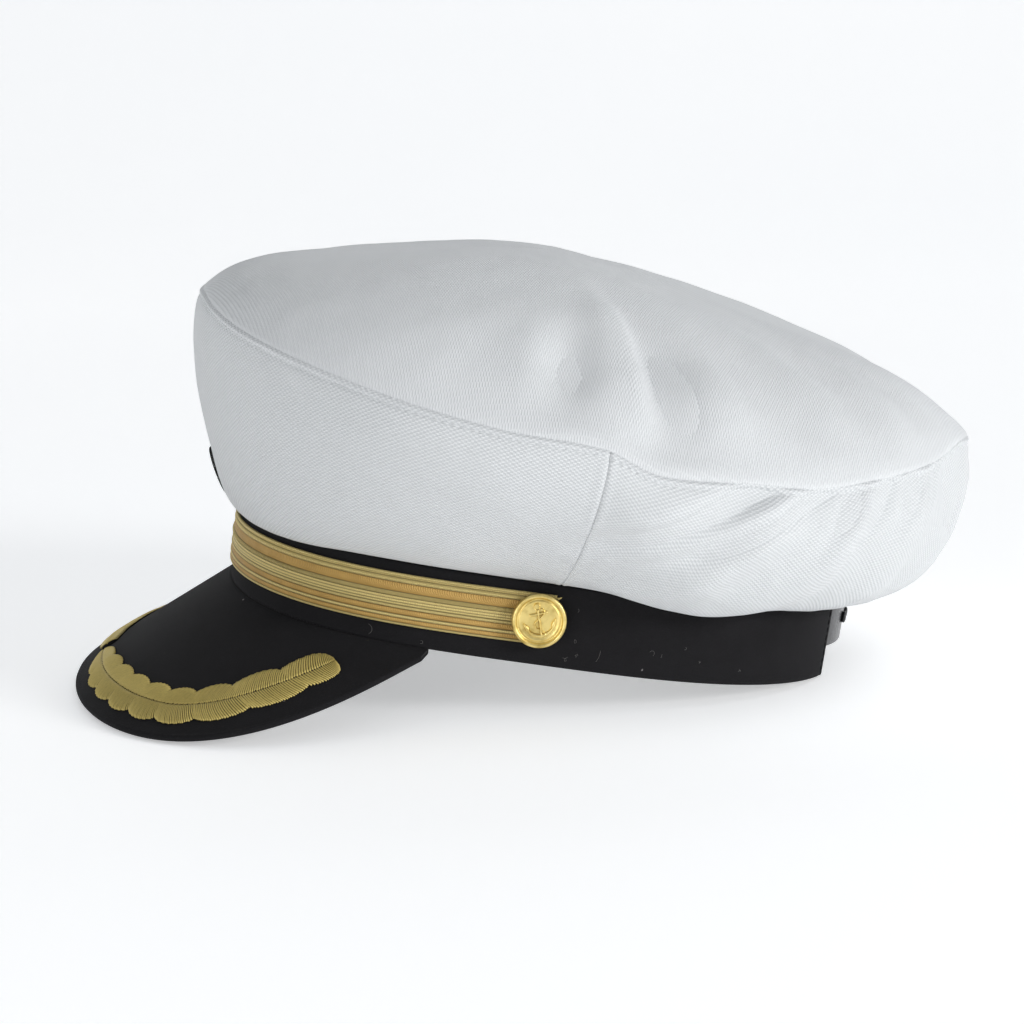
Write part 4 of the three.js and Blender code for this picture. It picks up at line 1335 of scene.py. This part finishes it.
# %% Snap strap
STRAP_LOW, STRAP_BOW, STRAP_WIDTH, STRAP_THICKNESS = 8.5, 5, 16, 1.3
STRAP_TUCK, STRAP_OVERLAP, STRAP_EDGE = 12, 46, 0.4
PEG_COUNT, PEG_PITCH, PEG_HOLE = 5, 9, 2.1
PEG_PROFILE = [
    (1.7, 0.1), (1.85, 0.25), (1.95, 0.5), (1.9, 0.85), (1.6, 1.15), (1.0, 1.3), (0.3, 1.34),
]
strap_middle = STRAP_LOW + STRAP_WIDTH / 2


def strap_face(angle):
    """How far the outer strip's face lies from the band's outer face"""
    off = np.minimum(np.abs(angle - math.pi) / (math.pi - band_end), 1)
    return STRAP_BOW * (1 - off * off) - BAND_THICKNESS - GAP


def make_strip(name, root, tip, bend, step):
    """Strip from its root to its round tip, which steps inwards from its root to the bend"""
    angles = np.linspace(min(root, tip), max(root, tip), 150)
    face = strap_face(angles) - step * smooth(np.abs(angles - root), 0, abs(bend - root))
    round_end = STRAP_WIDTH / 2 / band_radius
    past = np.clip(1 - np.abs(tip - angles) / round_end, 0, 0.97)
    half = STRAP_WIDTH / 2 * np.sqrt(1 - past * past)
    section = [
        rounded(-STRAP_THICKNESS, 0, -h, h, STRAP_EDGE, steps=3, face_rows=6) + (out, strap_middle)
        for h, out in zip(half, face)
    ]
    return swept(name, angles, np.array(section))


def turned(name, profile, around=28):
    """A round body at each peg: profile holds (radius, outward) pairs"""
    turn = (np.arange(around) * TURN / around)[:, None]
    radius, height = np.array(profile).T[..., None, None]
    points = []
    for angle in peg_angles:
        along, out = beside(angle)
        middle = band(np.array(angle), 0.0, strap_middle)
        spokes = np.cos(turn) * along + np.sin(turn) * UP
        points.append(middle + radius * spokes + (height + strap_face(angle)) * out)
    count = len(profile)
    first = (np.arange(len(points)) * count * around)[:, None, None]
    cap = first[:, 0] + np.arange(around)
    faces = [ring_faces(count, around, first, True), cap[:, ::-1], cap + (count - 1) * around]
    return mesh_object(name, rest(np.reshape(points, (-1, 3))), faces)


def cut_away(piece, cutter):
    hole = piece.modifiers.new("holes", "BOOLEAN")
    hole.operation, hole.solver, hole.object = "DIFFERENCE", "EXACT", cutter
    cut = piece.evaluated_get(bpy.context.evaluated_depsgraph_get())
    shape = bpy.data.meshes.new_from_object(cut)
    piece.modifiers.clear()
    piece.data = shape
    bpy.data.objects.remove(cutter)
    print(piece.name, "keeps", len(shape.polygons), "faces")


strap_root = band_end - STRAP_TUCK / band_radius
strap_tip = STRAP_OVERLAP / 2 / band_radius
behind = STRAP_THICKNESS + GAP
peg_angles = math.pi + (np.arange(PEG_COUNT) - (PEG_COUNT - 1) / 2) * PEG_PITCH / band_radius
left_tip, right_tip = math.pi + strap_tip, math.pi - strap_tip
strip_left = make_strip("snap_strip_left", strap_root, left_tip, math.pi, 0)
strip_right = make_strip("snap_strip_right", TURN - strap_root, right_tip, left_tip, behind)
cut_away(strip_left, turned("hole_cutter", [(PEG_HOLE, -2.2), (PEG_HOLE, 1.0)]))
pegs = turned("snap_pegs", [(1.7, -behind - 0.4), *PEG_PROFILE])


def plastic_finish():
    finish = Finish("black_plastic")
    scratch = finish.clouds(0.0009, 4.0)
    smear = finish.clouds(0.012, 3.0, 4.0)
    tone = finish.blend(smear, colour(0.006, 0.006, 0.007), colour(0.018, 0.018, 0.02))
    return finish.done(
        Base_Color=tone,
        Roughness=0.14 + smear * 0.18 + scratch * 0.08,
        Normal=finish.bump(finish.clouds(0.0035, 2.0, 8.0), 0.00012),
    )


plastic = plastic_finish()
wear(strip_left, plastic, "black_plastic", "snap_strap_left")
wear(strip_right, plastic, "black_plastic", "snap_strap_right")
wear(pegs, plastic, "black_plastic")

# %% [markdown]
# Cloth keeps its area when it is sewn. The top is an oval, and the wall panels are gathered at the
# rear.

# %% [markdown]
# A simple stage: a pale floor that curves up behind the hat, so that no horizon shows, a
# pale sky, and two large soft lamps, one towards the rear and one towards the front. The
# floor gives off a little light of its own, as a lit table does, which brightens the
# underside of the hat.

# %% Stage and light


def make_stage():
    wide, near, far, high, bend = 6.0, -3.0, 2.6, 3.5, 1.2
    profile = [(near, 0.0), (0.0, 0.0), (far - bend, 0.0)]
    for t in np.linspace(0, math.pi / 2, 12)[1:]:
        profile.append((far - bend + bend * math.sin(t), bend - bend * math.cos(t)))
    profile.append((far, high))
    points = [(-x, y, z) for x, z in profile for y in (-wide, wide)]
    floor = mesh_object("floor", points, [grid_faces(len(profile), 2, flip=True)])
    finish = Finish("pale_floor")
    tone = finish.blend(finish.clouds(0.8), colour(0.86, 0.87, 0.88), colour(0.9, 0.9, 0.9))
    glow = {"Emission_Color": tone, "Emission_Strength": 0.46}
    floor.data.materials.append(finish.done(Base_Color=tone, Roughness=0.7, **glow))


def soft_lamp(name, place, size, power, aim=(0, 0, 0.07)):
    lamp = bpy.data.lights.new(name, "AREA")
    lamp.shape, lamp.size, lamp.size_y, lamp.energy = "RECTANGLE", size[0], size[1], power
    made = bpy.data.objects.new(name, lamp)
    made.location = place
    made.rotation_euler = (Vector(aim) - Vector(place)).to_track_quat("-Z", "Y").to_euler()
    bpy.context.scene.collection.objects.link(made)


make_stage()
soft_lamp("side_lamp", (1.25, 1.9, 0.7), (0.8, 0.6), 32)
soft_lamp("front_lamp", (1.7, -1.0, 0.35), (0.9, 0.9), 10)
sky = bpy.data.worlds.new("pale_sky")
sky.use_nodes = True
sky_light = sky.node_tree.nodes["Background"].inputs
sky_light["Color"].default_value = colour(0.93, 0.96, 1.0)
sky_light["Strength"].default_value = 0.33
bpy.context.scene.world = sky
bpy.context.scene.view_settings.view_transform = "Standard"
